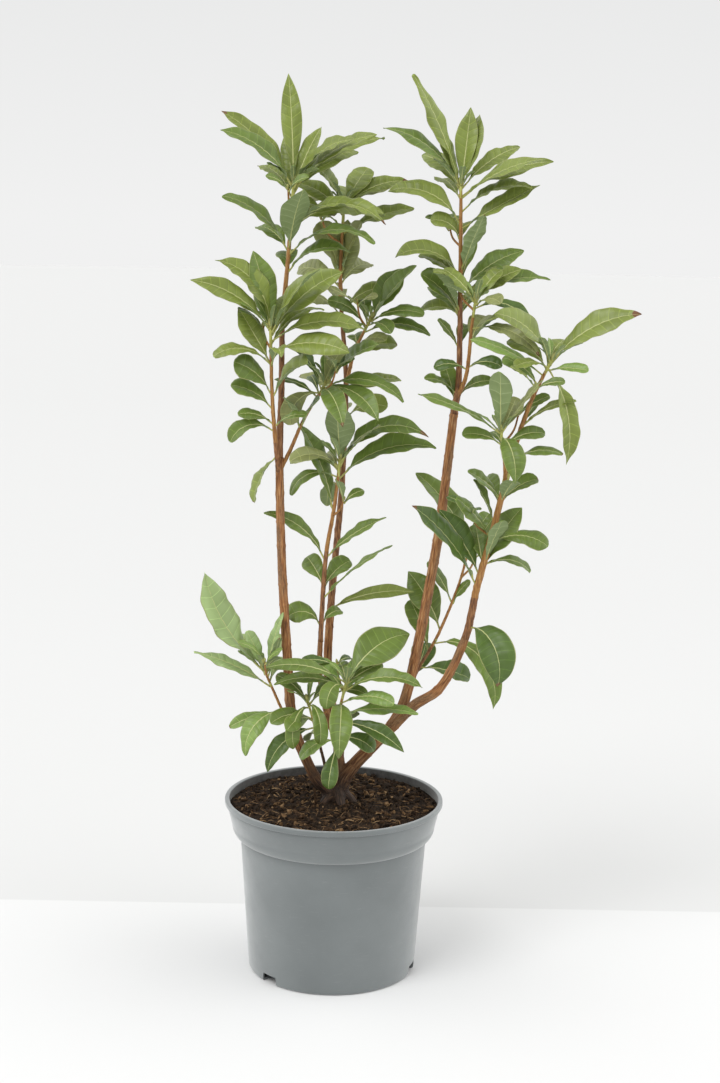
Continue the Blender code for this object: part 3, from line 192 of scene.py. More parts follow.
# The masses, in the order in which they grow
MASSES = (
    Mass("left_top", 11, 1, (
        Fan(0.791, 1, 0.107, 86, 8, 200, 200, 0.021),
        Fan(0.789, 1, 0.094, 58, 42, 284, 284, 0.022),
        Fan(0.788, 1, 0.102, 62, 20, 260, 260, 0.022),
        Fan(0.787, 2, 0.106, 50, 46, 80, 102, 0.022),
        Fan(0.786, 2, 0.090, 57, 48, 54, 128, 0.022),
        Fan(0.785, 2, 0.066, 76, 22, 112, 205, 0.017),
        Fan(0.781, 3, 0.080, 48, 45, 148, 205),
        Fan(0.752, 3, 0.104, 40, 72, 66, 118, 0.021),
        Fan(0.730, 1, 0.076, 58, 18, 8, 8, 0.031),
        Fan(0.728, 1, 0.087, 57, 54, 283, 283, 0.027),
        Fan(0.727, 1, 0.066, 50, 45, 225, 225, 0.020),
        Fan(0.724, 1, 0.104, 46, 80, 60, 60, 0.022),
        Fan(0.707, 2, 0.076, 52, 76, 64, 185, 0.023))),
    Mass("left_side", 12, 1, (
        Fan(0.655, 1, 0.092, 50, 40, 280, 280, 0.021),
        Fan(0.654, 1, 0.080, 80, 14, 232, 232, 0.026),
        Fan(0.652, 1, 0.091, 86, 84, 266, 266, 0.024),
        Fan(0.650, 2, 0.070, 60, 42, 205, 165, 0.020),
        Fan(0.650, 2, 0.090, 60, 38, 62, 100, 0.032),
        Fan(0.643, 1, 0.102, 36, 60, 84, 84, 0.024),
        Fan(0.640, 1, 0.080, 50, 50, 150, 150),
        Fan(0.632, 1, 0.086, 26, 46, 72, 72, 0.027),
        Fan(0.622, 1, 0.062, 55, 8, 256, 256, 0.025),
        Fan(0.621, 2, 0.062, 46, 78, 290, 20, 0.017),
        Fan(0.592, 2, 0.052, 58, 45, 292, 64, 0.027),
        Fan(0.578, 1, 0.048, 50, 40, 275, 275, 0.024),
        Fan(0.563, 2, 0.036, 40, 50, 276, 70, 0.014),
        Fan(0.556, 1, 0.048, 30, 100, 285, 285, 0.017),
        Fan(0.531, 1, 0.054, -50, 30, 245, 245, 0.023))),
    Mass("left_fork", 13, 1, (
        Fan(0.601, 1, 0.074, 50, 30, 58, 58, 0.028),
        Fan(0.596, 1, 0.092, 26, 76, 72, 72, 0.023),
        Fan(0.596, 2, 0.080, 10, 70, 48, 22, 0.021),
        Fan(0.595, 2, 0.054, 68, 25, 285, 125, 0.017),
        Fan(0.592, 1, 0.050, 0, 100, 296, 296, 0.022),
        Fan(0.590, 2, 0.050, 40, 50, 200, 250),
        Fan(0.560, 2, 0.040, 58, 25, 30, 330, 0.020))),
    Mass("middle_front", 16, 1, (
        Fan(0.525, 1, 0.062, 76, 10, 350, 350, 0.032),
        Fan(0.524, 1, 0.062, 52, 20, 55, 55, 0.016),
        Fan(0.519, 1, 0.106, 66, 105, 74, 74, 0.022),
        Fan(0.518, 3, 0.058, 45, 80, 298, 200, 0.016),
        Fan(0.502, 1, 0.056, 0, 70, 205, 205, 0.015),
        Fan(0.507, 1, 0.112, 44, 58, 90, 90, 0.026),
        Fan(0.509, 1, 0.058, 26, 100, 274, 274, 0.016),
        Fan(0.476, 1, 0.098, 74, 18, 258, 258, 0.026),
        Fan(0.428, 1, 0.080, 48, 28, 72, 72, 0.015),
        Fan(0.425, 1, 0.084, 62, 60, 270, 270, 0.017),
        Fan(0.398, 2, 0.040, 55, 40, 225, 130, 0.021),
        Fan(0.386, 1, 0.104, 50, 22, 62, 62, 0.015),
        Fan(0.359, 1, 0.030, 55, 60, 120, 120, 0.014),
        Fan(0.357, 1, 0.043, 64, 100, 284, 284, 0.025))),
    Mass("middle_side", 15, 1, (
        Fan(0.661, 1, 0.066, 68, 16, 114, 114, 0.026),
        Fan(0.659, 1, 0.074, 54, 8, 92, 92, 0.027),
        Fan(0.659, 1, 0.060, 36, 45, 70, 70, 0.016),
        Fan(0.656, 2, 0.038, 20, 60, 40, 330, 0.017),
        Fan(0.655, 2, 0.052, 62, 50, 190, 290, 0.016),
        Fan(0.649, 1, 0.066, 26, 60, 84, 84, 0.017),
        Fan(0.636, 2, 0.036, 38, 50, 60, 200, 0.018))),
    Mass("middle_back", 14, 1, (
        Fan(0.770, 1, 0.051, 62, 18, 122, 122, 0.027),
        Fan(0.771, 1, 0.050, 68, 20, 282, 282, 0.024),
        Fan(0.770, 2, 0.076, 46, 50, 92, 130, 0.018),
        Fan(0.766, 1, 0.076, 34, 50, 225, 225, 0.021),
        Fan(0.763, 2, 0.062, 52, 45, 265, 175, 0.021),
        Fan(0.745, 1, 0.078, 32, 30, 66, 66, 0.026),
        Fan(0.750, 2, 0.060, 45, 60, 295, 20, 0.020),
        Fan(0.706, 2, 0.056, 72, 20, 60, 275, 0.028),
        Fan(0.694, 2, 0.064, 44, 60, 152, 235, 0.023),
        Fan(0.692, 1, 0.070, 84, 12, 150, 150, 0.030),
        Fan(0.668, 3, 0.060, 52, 55, 85, 300, 0.022),
        Fan(0.622, 2, 0.058, 42, 50, 98, 72, 0.027),
        Fan(0.600, 3, 0.062, 50, 35, 62, 150, 0.028),
        Fan(0.585, 2, 0.062, 36, 40, 104, 240, 0.018),
        Fan(0.563, 2, 0.048, 40, 50, 76, 190, 0.022),
        Fan(0.370, 1, 0.092, 27, 30, 90, 90, 0.016))),
    Mass("right_top", 17, 1, (
        Fan(0.792, 1, 0.096, 57, 42, 280, 280, 0.023),
        Fan(0.791, 1, 0.118, 76, 16, 275, 275, 0.022),
        Fan(0.791, 1, 0.074, 70, 10, 128, 128, 0.024),
        Fan(0.790, 1, 0.082, 77, 8, 152, 152, 0.021),
        Fan(0.790, 2, 0.082, 48, 40, 116, 220, 0.019),
        Fan(0.788, 1, 0.062, 68, 8, 235, 235, 0.015),
        Fan(0.783, 2, 0.100, 36, 34, 80, 56, 0.021),
        Fan(0.780, 1, 0.084, 34, 48, 200, 200, 0.020),
        Fan(0.768, 1, 0.074, 44, 50, 76, 76, 0.022),
        Fan(0.752, 1, 0.084, 31, 2, 84, 84, 0.021),
        Fan(0.757, 1, 0.086, 60, 76, 272, 272, 0.023),
        Fan(0.741, 2, 0.036, 68, 75, 262, 170, 0.020),
        Fan(0.711, 1, 0.066, 62, 20, 38, 38, 0.029),
        Fan(0.706, 1, 0.072, 56, 84, 282, 282, 0.023),
        Fan(0.700, 1, 0.046, 76, 8, 120, 120, 0.016),
        Fan(0.700, 1, 0.050, 50, 50, 258, 258, 0.024),
        Fan(0.690, 1, 0.076, 46, 30, 104, 104, 0.027),
        Fan(0.678, 1, 0.070, 44, 20, 84, 84, 0.024),
        Fan(0.683, 1, 0.089, 32, 40, 88, 88, 0.022),
        Fan(0.672, 2, 0.054, 54, 28, 318, 274, 0.025),
        Fan(0.669, 1, 0.044, 28, 60, 272, 272, 0.021),
        Fan(0.666, 2, 0.064, 50, 45, 156, 215, 0.018),
        Fan(0.636, 2, 0.036, 56, 22, 270, 170, 0.013),
        Fan(0.590, 2, 0.038, 50, 50, 292, 90, 0.015),
        Fan(0.582, 1, 0.036, 76, 10, 245, 245, 0.017))),
    Mass("far_right_top", 20, 1, (
        Fan(0.627, 1, 0.080, 62, 50, 282, 282, 0.029),
        Fan(0.627, 1, 0.104, 51, 50, 80, 80, 0.029),
        Fan(0.622, 1, 0.044, 24, 50, 305, 305, 0.016),
        Fan(0.621, 1, 0.104, -58, 44, 70, 70, 0.021),
        Fan(0.620, 2, 0.056, 50, 50, 232, 155, 0.022),
        Fan(0.619, 1, 0.040, 10, 20, 76, 76, 0.014),
        Fan(0.614, 1, 0.082, 40, 20, 282, 282, 0.019),
        Fan(0.604, 1, 0.044, 58, 42, 246, 246, 0.019),
        Fan(0.566, 2, 0.056, 40, 44, 86, 150, 0.012),
        Fan(0.531, 1, 0.052, 34, 60, 82, 82, 0.018))),
    Mass("far_right_side", 21, 1, (
        Fan(0.561, 1, 0.058, 80, 8, 350, 350, 0.025),
        Fan(0.560, 1, 0.066, 56, 12, 70, 70, 0.016),
        Fan(0.559, 1, 0.092, 36, 24, 292, 292, 0.017),
        Fan(0.558, 1, 0.040, 62, 10, 140, 140, 0.022),
        Fan(0.555, 1, 0.064, 0, 105, 14, 14, 0.024),
        Fan(0.548, 2, 0.040, 36, 50, 268, 190, 0.016),
        Fan(0.545, 1, 0.046, 42, 60, 130, 130, 0.016))),
    Mass("right_side", 18, 1, (
        Fan(0.676, 1, 0.074, 26, 115, 80, 80, 0.017),
        Fan(0.682, 2, 0.044, 58, 30, 250, 120, 0.017),
        Fan(0.679, 1, 0.042, 28, 50, 40, 40, 0.016),
        Fan(0.656, 1, 0.078, 10, 60, 62, 62, 0.016),
        Fan(0.642, 2, 0.046, 55, 30, 48, 180, 0.025),
        Fan(0.618, 2, 0.034, 30, 60, 80, 280, 0.015))),
    Mass("far_right", 19, 1, (
        Fan(0.494, 2, 0.042, 48, 25, 282, 22, 0.020),
        Fan(0.490, 2, 0.046, 45, 40, 120, 200, 0.019),
        Fan(0.470, 1, 0.046, 70, 6, 270, 270, 0.014),
        Fan(0.449, 1, 0.060, 30, 60, 78, 78, 0.024),
        Fan(0.455, 1, 0.056, 60, 20, 290, 290, 0.024),
        Fan(0.428, 1, 0.056, 18, 60, 100, 100, 0.014),
        Fan(0.428, 1, 0.058, 64, 20, 38, 38, 0.022),
        Fan(0.426, 1, 0.044, 70, 20, 205, 205, 0.018),
        Fan(0.422, 1, 0.074, 70, 20, 108, 108, 0.035),
        Fan(0.417, 1, 0.076, 66, 18, 262, 262, 0.026),
        Fan(0.406, 1, 0.118, 64, 24, 284, 284, 0.029),
        Fan(0.364, 1, 0.086, 4, 112, 30, 30, 0.036))),
    Mass("right_inner", 22, 1, (
        Fan(0.437, 2, 0.040, 62, 30, 250, 120, 0.016),
        Fan(0.434, 1, 0.094, 64, 30, 258, 258, 0.032),
        Fan(0.378, 1, 0.046, 62, 14, 268, 268, 0.018),
        Fan(0.376, 1, 0.030, 66, 30, 70, 70, 0.016),
        Fan(0.350, 1, 0.072, 68, 16, 246, 246, 0.031),
        Fan(0.336, 1, 0.112, 16, 118, 58, 58, 0.021),
        Fan(0.328, 1, 0.056, 72, 18, 246, 246, 0.024),
        Fan(0.300, 1, 0.050, 40, 14, 150, 150, 0.026),
        Fan(0.312, 1, 0.052, -8, 20, 95, 95, 0.030))),
    Mass("low_left", 23, 1, (
        Fan(0.317, 1, 0.119, 39, -40, 277, 277, 0.035),
        Fan(0.315, 2, 0.052, 55, 25, 232, 140, 0.014),
        Fan(0.314, 1, 0.062, 78, 8, 100, 100, 0.012),
        Fan(0.300, 1, 0.084, 32, 26, 270, 270, 0.015),
        Fan(0.312, 2, 0.048, 70, 14, 285, 40, 0.016),
        Fan(0.305, 1, 0.042, 45, 40, 150, 150, 0.013),
        Fan(0.274, 1, 0.064, 0, 90, 304, 304, 0.023),
        Fan(0.270, 1, 0.060, 8, 30, 282, 282, 0.013))),
    Mass("low_centre", 24, 1, (
        Fan(0.309, 1, 0.086, 30, 45, 277, 277, 0.015),
        Fan(0.308, 1, 0.093, 60, 58, 120, 120, 0.038),
        Fan(0.307, 2, 0.046, 38, 30, 110, 180, 0.018),
        Fan(0.304, 1, 0.044, 36, 115, 322, 322, 0.020),
        Fan(0.303, 1, 0.070, 22, 40, 268, 268, 0.015),
        Fan(0.300, 1, 0.086, 32, 66, 76, 76, 0.018),
        Fan(0.298, 2, 0.050, 50, 50, 235, 150, 0.022),
        Fan(0.283, 1, 0.084, 24, 112, 352, 352, 0.023),
        Fan(0.287, 1, 0.062, 30, 46, 66, 66, 0.016),
        Fan(0.262, 1, 0.050, 30, 60, 180, 180, 0.019),
        Fan(0.274, 1, 0.082, 16, 28, 84, 84, 0.017),
        Fan(0.265, 1, 0.074, 0, 48, 72, 72, 0.018),
        Fan(0.248, 2, 0.042, 6, 60, 84, 290, 0.020),
        Fan(0.238, 1, 0.046, -24, 60, 345, 345, 0.018))),
    Mass("low_front", 25, 1, (
        Fan(0.285, 2, 0.042, 55, 35, 290, 92, 0.017),
        Fan(0.282, 2, 0.060, 20, 130, 18, 332, 0.015),
        Fan(0.270, 3, 0.048, 30, 60, 250, 330, 0.018),
        Fan(0.250, 2, 0.040, 10, 70, 10, 200, 0.016),
        Fan(0.246, 1, 0.040, -10, 60, 318, 318, 0.018),
        Fan(0.258, 1, 0.070, -8, 70, 290, 290, 0.019))),
)


# The rule of growth, as the frame's masses were grown

def heading(bearing):
    """The level direction that a bearing points in."""
    angle = math.radians(bearing)
    return Vector((math.sin(angle), -math.cos(angle), 0.0))


def smooth_path(route, before=None, after=None, steps=STEPS_PER_SPAN):
    """Points along a smooth curve through the route, in line at both ends with the limbs that it meets."""
    points = [Vector(point) for point in route]
    first = Vector(before) if before else points[0] * 2 - points[1]
    last = Vector(after) if after else points[-1] * 2 - points[-2]
    points = [first] + points + [last]
    path = []
    for a, b, c, d in zip(points, points[1:], points[2:], points[3:]):
        for step in range(steps):
            t = step / steps
            path.append(0.5 * (2 * b + (c - a) * t + (2 * a - 5 * b + 4 * c - d) * t * t
                               + (3 * b - a - 3 * c + d) * t * t * t))
    path.append(points[-2])
    foot_span = (points[2] - points[0]).normalized() * (path[1] - path[0]).length
    tip_span = (points[-1] - points[-3]).normalized() * (path[-1] - path[-2]).length
    path[1] = path[0] + foot_span
    path[-2] = path[-1] - tip_span
    return path


def limb_named(name):
    """The stub, bough or shoot of that name."""
    return next(limb for limb in STUMP_LIMBS + BOUGHS + SHOOTS if limb.name == name)


def limb_path(limb, steps=STEPS_PER_SPAN):
    """The limb's centre line, and its radius at each point."""
    limbs = STUMP_LIMBS + BOUGHS + SHOOTS
    before = next((each.route[-2] for each in limbs if each.route[-1] == limb.route[0]), None)
    after = next((each.route[1] for each in limbs if each.route[0] == limb.route[-1]), None)
    path = smooth_path(limb.route, before, after, steps)
    last = len(path) - 1
    radii = [limb.foot_radius + (limb.tip_radius - limb.foot_radius) * n / last for n in range(last + 1)]
    return path, radii


def outline(share):
    """Half width of the blade over its widest, from the foot (0) to the tip (1)."""
    a, b = LEAF_WIDEST_POWER, LEAF_TIP_POWER
    widest = a / (a + b)
    return share ** a * (1 - share) ** b / (widest ** a * (1 - widest) ** b)


def midrib(leaf, share):
    """A point of the midrib, and the blade's forward, side and up directions there."""
    spans = 12
    place = Vector(leaf.foot)
    outward = heading(leaf.bearing)
    forward = outward
    for n in range(spans + 1):
        reached = share * n / spans
        rise = math.radians(leaf.rise - leaf.arch * reached ** 1.2)
        turn = heading(leaf.bearing + leaf.sway * reached)
        forward = turn * math.cos(rise) + Vector((0, 0, math.sin(rise)))
        if n:
            place = place + forward * (leaf.length * share / spans)
        outward = turn
    side = outward.cross(Vector((0, 0, 1))).normalized()
    up = side.cross(forward).normalized()
    roll = math.radians(leaf.roll * min(1.0, share * 2.5))
    side, up = side * math.cos(roll) - up * math.sin(roll), up * math.cos(roll) + side * math.sin(roll)
    return place, forward, side, up


def tube_faces(rings, around):
    """The faces between rings of corner points, ring by ring."""
    faces = []
    for ring in range(rings - 1):
        for side in range(around):
            a = ring * around + side
            b = ring * around + (side + 1) % around
            faces.append((a, b, b + around, a + around))
    return faces


def coarse_leaf(leaf, margin=0.0, start=0):
    """The frame's plain leaf, for the clearance test."""
    thickness = max(LEAF_LEAST_THICKNESS, leaf.length * LEAF_THICK_SHARE) + 2 * margin
    sections = LEAF_SECTIONS[start:]
    points = []
    for share in sections:
        place, forward, side, up = midrib(leaf, share)
        half = max(PETIOLE_HALF_WIDTH, leaf.width / 2 * outline(share)) + margin
        lift = up * (half * LEAF_FOLD * min(1.0, share * 4) + thickness / 2)
        points += [place - side * half + lift, place + side * half + lift, place - up * thickness / 2]
    place, forward, side, up = midrib(leaf, 1.0)
    points.append(place + forward * margin)
    last = len(points) - 1
    faces = [(2, 1, 0)] + tube_faces(len(sections), 3)
    faces += [(last - 3 + side, last - 3 + (side + 1) % 3, last) for side in range(3)]
    return points, faces


def point_at_height(path, height):
    """Where a path that climbs reaches a height."""
    for low, high in zip(path, path[1:]):
        if high.z >= height:
            share = (height - low.z) / (high.z - low.z)
            return low.lerp(high, max(0.0, share))
    return path[-1]


def leaf_foot(path, height, bearing):
    """A leaf starts inside the shoot, on the side that it leaves by."""
    return point_at_height(path, height) + heading(bearing) * FOOT_OFFSET


def face_roll(bearing):
    """How far a leaf is turned about its midrib, so that its upper face looks to the front."""
    return FACE_TURN * math.sin(math.radians(bearing))


def fan_leaves(fan, path, chance):
    """The leaves of one fan, spread between two bearings and stepping down the shoot."""
    spread = fan.last - fan.first
    for number in range(fan.leaves):
        share = number / max(1, fan.leaves - 1)
        bearing = fan.first + spread * share + chance.uniform(-4, 4)
        foot = leaf_foot(path, fan.height - number * LEAF_PITCH, bearing)
        width = fan.width or fan.length * LEAF_WIDTH_SHARE
        yield Leaf(foot, bearing, fan.rise + chance.uniform(-4, 4), fan.arch + chance.uniform(-8, 8),
                   chance.uniform(-16, 16), face_roll(bearing) + chance.uniform(-12, 12),
                   fan.length * chance.uniform(0.94, 1.04), width * chance.uniform(0.95, 1.05))


def side_twigs(mass, path, chance):
    """Short twigs at seeded heights, each with its path and its own small leaves."""
    low = path[0].z
    high = path[-1].z
    for number in range(mass.twigs):
        share = TWIG_LOWEST + (TWIG_HIGHEST - TWIG_LOWEST) * (number + chance.random()) / mass.twigs
        height = low + (high - low) * share
        bearing = chance.uniform(0, 360)
        foot = point_at_height(path, height)
        outward = heading(bearing)
        length = TWIG_LENGTH * chance.uniform(0.7, 1.2)
        twig = [foot, foot + outward * length * 0.6 + Vector((0, 0, length * 0.45)),
                foot + outward * length * 0.85 + Vector((0, 0, length))]
        leaves = []
        for leaf in range(2):
            leaf_bearing = bearing + leaf * 137.5 - 60
            leaves.append(Leaf(twig[-1] - Vector((0, 0, 0.001 + LEAF_PITCH * leaf)), leaf_bearing,
                               chance.uniform(25, 60), chance.uniform(20, 60), chance.uniform(-15, 15),
                               face_roll(leaf_bearing), TWIG_LEAF_LENGTH * chance.uniform(0.7, 1.15),
                               TWIG_LEAF_WIDTH * chance.uniform(0.8, 1.1)))
        yield twig, leaves


def mesh_tree(parts):
    """A search tree over corner points and faces of many small shapes."""
    points = []
    faces = []
    for part_points, part_faces in parts:
        start = len(points)
        points += part_points
        faces += [tuple(index + start for index in face) for face in part_faces]
    return BVHTree.FromPolygons(points, faces)


def node_shape(node):
    """The corner points and faces of one of the frame's solids."""
    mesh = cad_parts[node].data
    return [v.co.copy() for v in mesh.vertices], [tuple(p.vertices) for p in mesh.polygons]


def prism(path, radii, sides):
    """A plain tube along a path, for the clearance test."""
    points = []
    for number, (centre, radius) in enumerate(zip(path, radii)):
        ahead = path[min(number + 1, len(path) - 1)] - path[max(number - 1, 0)]
        across = ahead.orthogonal().normalized()
        over = ahead.cross(across).normalized()
        for side in range(sides):
            angle = math.tau * side / sides
            points.append(centre + (across * math.cos(angle) + over * math.sin(angle)) * radius)
    return points, tube_faces(len(path), sides)


def shoot_shape(limb):
    """The bare shoot as the frame has it, without the stretch that is cut off inside its parents."""
    path, radii = limb_path(limb)
    for name in limb.clear_of:
        parent_path, parent_radii = limb_path(limb_named(name))
        while len(path) > 2 and min((path[0] - place).length - radius * 1.5
                                    for place, radius in zip(parent_path, parent_radii)) < 0:
            path = path[1:]
            radii = radii[1:]
    return prism(path, radii, 4)


def twig_shape(twig):
    """A three-sided prism along a twig, for the clearance test."""
    points = []
    for centre in twig:
        for turn in range(3):
            points.append(centre + heading(turn * 120) * (TWIG_RADIUS + LEAF_CLEARANCE))
    return points, tube_faces(len(twig), 3)


def clear_leaf(leaf, others, blades):
    """The leaf, turned aside if it must be, so that it keeps clear of the others. None where it can't.

    A leaf that can also miss the blades of its own mass is preferred."""
    own = mesh_tree(blades) if blades else None
    kept = None
    for turn in SIDE_STEPS:
        tried = leaf._replace(bearing=leaf.bearing + turn)
        lowest = min(midrib(tried, share)[0].z for share in (0.5, 1.0))
        if lowest < LEAF_LOWEST or mesh_tree([coarse_leaf(tried, LEAF_CLEARANCE)]).overlap(others):
            continue
        if not own or not mesh_tree([coarse_leaf(tried, 0.0, 1)]).overlap(own):
            return tried
        kept = kept or tried
    return kept


def grow_mass(mass, others):
    """Twigs and leaves that one mass can hold: its own list of twig paths and of leaves."""
    chance = random.Random(mass.seed)
    path = limb_path(limb_named(mass.stem))[0]
    wanted = [leaf for fan in mass.fans for leaf in fan_leaves(fan, path, chance)]
    twigs = []
    for twig, leaves in side_twigs(mass, path, chance):
        if not mesh_tree([twig_shape(twig)]).overlap(others):
            twigs.append(twig)
            wanted += leaves
    leaves = []
    blades = []
    for leaf in wanted:
        kept = clear_leaf(leaf, others, blades)
        if kept:
            leaves.append(kept)
            blades.append(coarse_leaf(kept, 0.0, 1))
    return twigs, leaves


def grow_plant():
    """Every mass's twigs and leaves, in the frame's order of growth."""
    woody = ["trunk"] + [limb.name for limb in BOUGHS]
    fixed = {name: node_shape(name) for name in ["pot", "soil"] + woody}
    fixed.update({limb.name: shoot_shape(limb) for limb in SHOOTS})
    grown = {}
    shapes = {}
    for mass in MASSES:
        others = [shape for name, shape in fixed.items() if name != mass.stem]
        others += [shape for group in shapes.values() for shape in group]
        twigs, leaves = grow_mass(mass, mesh_tree(others))
        grown[mass.stem] = twigs, leaves
        shapes[mass.stem] = [twig_shape(twig) for twig in twigs] + [coarse_leaf(leaf) for leaf in leaves]
    return grown


# Numbers of the looks

POT_TURNS = 160
POT_SHARP_ANGLE = 35         # degrees between faces from which an edge shows as a crease
PEAT_RINGS = 66
PEAT_TURNS = 190
PEAT_LIFT = 0.0018           # of the rough surface over the frame's plain one
PEAT_MOUND = 0.0022          # how far the peat rises round the stump
PEAT_MOUND_RADIUS = 0.030
PEAT_GRIT = 0.0006
CRUMB_KINDS = 14
LIMB_STEPS = 14              # path points between two route points on the dressed limbs
LIMB_SIDES = 24
LIMB_OFFSET = 0.137          # between two limbs' bark, so that they don't look alike
NODE_SWELL = 0.00042         # of an old leaf node on the bark
NODE_HALF_LENGTH = 0.0032
STUMP_DARK_AND_SHADE_TOP = 0.238       # where the boughs' bark starts to darken towards the stump: the stump's own dark bark and painted shade low under the leaves
STUMP_DARK_AND_SHADE_FADE = 0.048
SHOOT_SIDES = 12
SHOOT_GREEN = 0.018          # length of a shoot's green tip
SHOOT_YOUNG = 0.11           # from its tip to where it turns brown
SCAR_SWELL = 0.22            # of a leaf scar, over the shoot's radius
SCAR_HALF_LENGTH = 0.0016
SCAR_HALF_TURN = 0.16        # half its width, as a share of a turn
SCAR_TURN = 0.382            # share of a turn from one leaf scar to the next
BUD_FATNESS = 0.24           # a bud's radius over its length
SPRAY_TURN = 137.5           # degrees from one young leaf to the next
# Where the blade's columns lie across its half widths. The two zeros are the midrib's sides.
BLADE_ACROSS = (-1.0, -0.95, -0.78, -0.52, -0.27, 0.0, 0.0, 0.27, 0.52, 0.78, 0.95, 1.0)
VEIN_ROWS = (0.0, 0.06, 0.38, 0.70)   # where the rows of one vein's field lie, as shares of the field
PETIOLE_SHARE = 0.08
BLADE_END = 0.965            # where the last vein's field ends
TIP_ROW = 0.978
SMALL_LEAF = 0.062           # leaves up to this length have rounder tips
SMALL_LEAF_TIP_POWER = 0.52
FEW_VEINS_LENGTH = 0.06      # leaves up to this length have fewer veins
VEIN_SLANT = 0.085           # how far a side vein runs forward from the midrib to the margin
KEEL_HALF_WIDTH = 0.00060    # of the midrib's groove, near the foot
RIB_DEPTH = 0.00105          # of the midrib below the blade, near the foot and at the tip
RIB_TIP_DEPTH = 0.00015
RIB_HALF_WIDTH = 0.0009
BLADE_FOLD = 0.46            # how far the margins stand up, over the half width
BLADE_ROLL = 0.20            # how far they bend back down
LEAF_ROUGHNESS = 0.37
OWN_TONE_SHARE = 0.7         # leaves that keep the tone of their age
BROWN_TIP_SHARE = 0.10

# The leaf tones: linear colours of the blade, each dealt out in three shades
TONES = {
    "deep": (0.070, 0.120, 0.020),
    "mid": (0.122, 0.180, 0.030),
    "olive": (0.182, 0.228, 0.042),
    "dusty": (0.240, 0.262, 0.092),
    "fresh": (0.176, 0.264, 0.056),
    # Partly painted sheen: the pale tone holds the gloss that pales the big low left leaves, as well as
    # their own paler green
    "pale": (0.285, 0.385, 0.150),
}
SHADES = {"dark": 0.90, "even": 1.0, "light": 1.10}
VEIN_LIFT = 1.50             # a vein's colour over the blade's
UNDERSIDE = (0.205, 0.265, 0.108)
UNDERSIDE_VEIN = (0.290, 0.345, 0.165)
MIDRIB = (0.480, 0.500, 0.215)
MARGIN = (0.300, 0.325, 0.110)
PETIOLE = (0.380, 0.380, 0.110)
BROWN = (0.165, 0.080, 0.035)

# Which tones a mass's leaves are dealt, from its youngest leaves to its oldest
MASS_TONES = {
    "left_top": ("olive", "olive", "mid"),
    "left_side": ("olive", "olive", "mid"),
    "left_fork": ("mid", "dusty", "deep"),
    "middle_front": ("dusty", "mid", "mid"),
    "middle_side": ("mid", "mid", "dusty"),
    "middle_back": ("olive", "dusty", "olive"),
    "right_top": ("olive", "olive", "mid"),
    "far_right_top": ("olive", "fresh", "mid"),
    "far_right_side": ("dusty", "mid", "mid"),
    "right_side": ("olive", "dusty", "deep"),
    "far_right": ("mid", "mid", "deep"),
    "right_inner": ("mid", "mid", "deep"),
    # low_left's pale tone is partly painted sheen
    "low_left": ("pale", "pale", "fresh"),
    "low_centre": ("mid", "fresh", "deep"),
    "low_front": ("mid", "mid", "deep"),
}


# Settings that the panel shows

class RhodoPotSettings(bpy.types.PropertyGroup):
    """Settings of the pot"""

    roughness: FloatProperty(name="Roughness", description="Roughness of the moulded plastic", default=0.42,
                             min=0.0, max=1.0, subtype="FACTOR")
    sheen: FloatProperty(name="Sheen", description="How far the plastic pales where it turns away",
                         default=0.55, min=0.0, max=1.0, subtype="FACTOR")
    notch_slant: FloatProperty(name="Notch slant", description="How far a notch's side leans inwards",
                               default=0.004, unit="LENGTH", subtype="DISTANCE")


class RhodoPeatSettings(bpy.types.PropertyGroup):
    """Settings of the peat"""

    seed: IntProperty(name="Seed", description="Seed of the crumbs and fibres", default=17)
    swell: FloatProperty(name="Swell", description="Height of the humps of the peat", default=0.0030,
                         unit="LENGTH", subtype="DISTANCE")
    crumbs: IntProperty(name="Crumbs", description="Number of loose crumbs", default=1300, min=0)
    fibres: IntProperty(name="Fibres", description="Number of fibres and bark strips", default=330, min=0)


class RhodoBarkSettings(bpy.types.PropertyGroup):
    """Settings of the bark"""

    voxel: FloatProperty(name="Mesh size", description="Edge length of the bark's mesh",
                         default=0.00080, unit="LENGTH", subtype="DISTANCE")
    ridge: FloatProperty(name="Ridge height", description="Height of the bark's ridges",
                         default=0.00032, unit="LENGTH", subtype="DISTANCE")
    node_pitch: FloatProperty(name="Node spacing", description="Distance between two old leaf nodes",
                              default=0.030, unit="LENGTH", subtype="DISTANCE")


class RhodoShootSettings(bpy.types.PropertyGroup):
    """Settings of the shoots"""

    node_pitch: FloatProperty(name="Node spacing", description="Distance between two leaf scars",
                              default=0.011, unit="LENGTH", subtype="DISTANCE")
    bud_length: FloatProperty(name="Bud length", description="Length of the bud at a shoot's tip",
                              default=0.0085, unit="LENGTH", subtype="DISTANCE")


class RhodoLeafSettings(bpy.types.PropertyGroup):
    """Settings of the leaves"""

    vein_pairs: IntProperty(name="Vein pairs", description="Pairs of side veins on a full-sized leaf",
                            default=9, min=3, max=14)
    quilt: FloatProperty(name="Quilting", description="How far the blade swells between two veins",
                         default=0.00065, unit="LENGTH", subtype="DISTANCE")
    wave: FloatProperty(name="Margin wave", description="Height of the waves along the margin",
                        default=0.0013, unit="LENGTH", subtype="DISTANCE")
    thickness: FloatProperty(name="Thickness", description="Thickness of the blade",
                             default=0.00045, unit="LENGTH", subtype="DISTANCE")
    bud_leaves: IntProperty(name="Bud leaves", description="Small leaves round each bud", default=5, min=0)


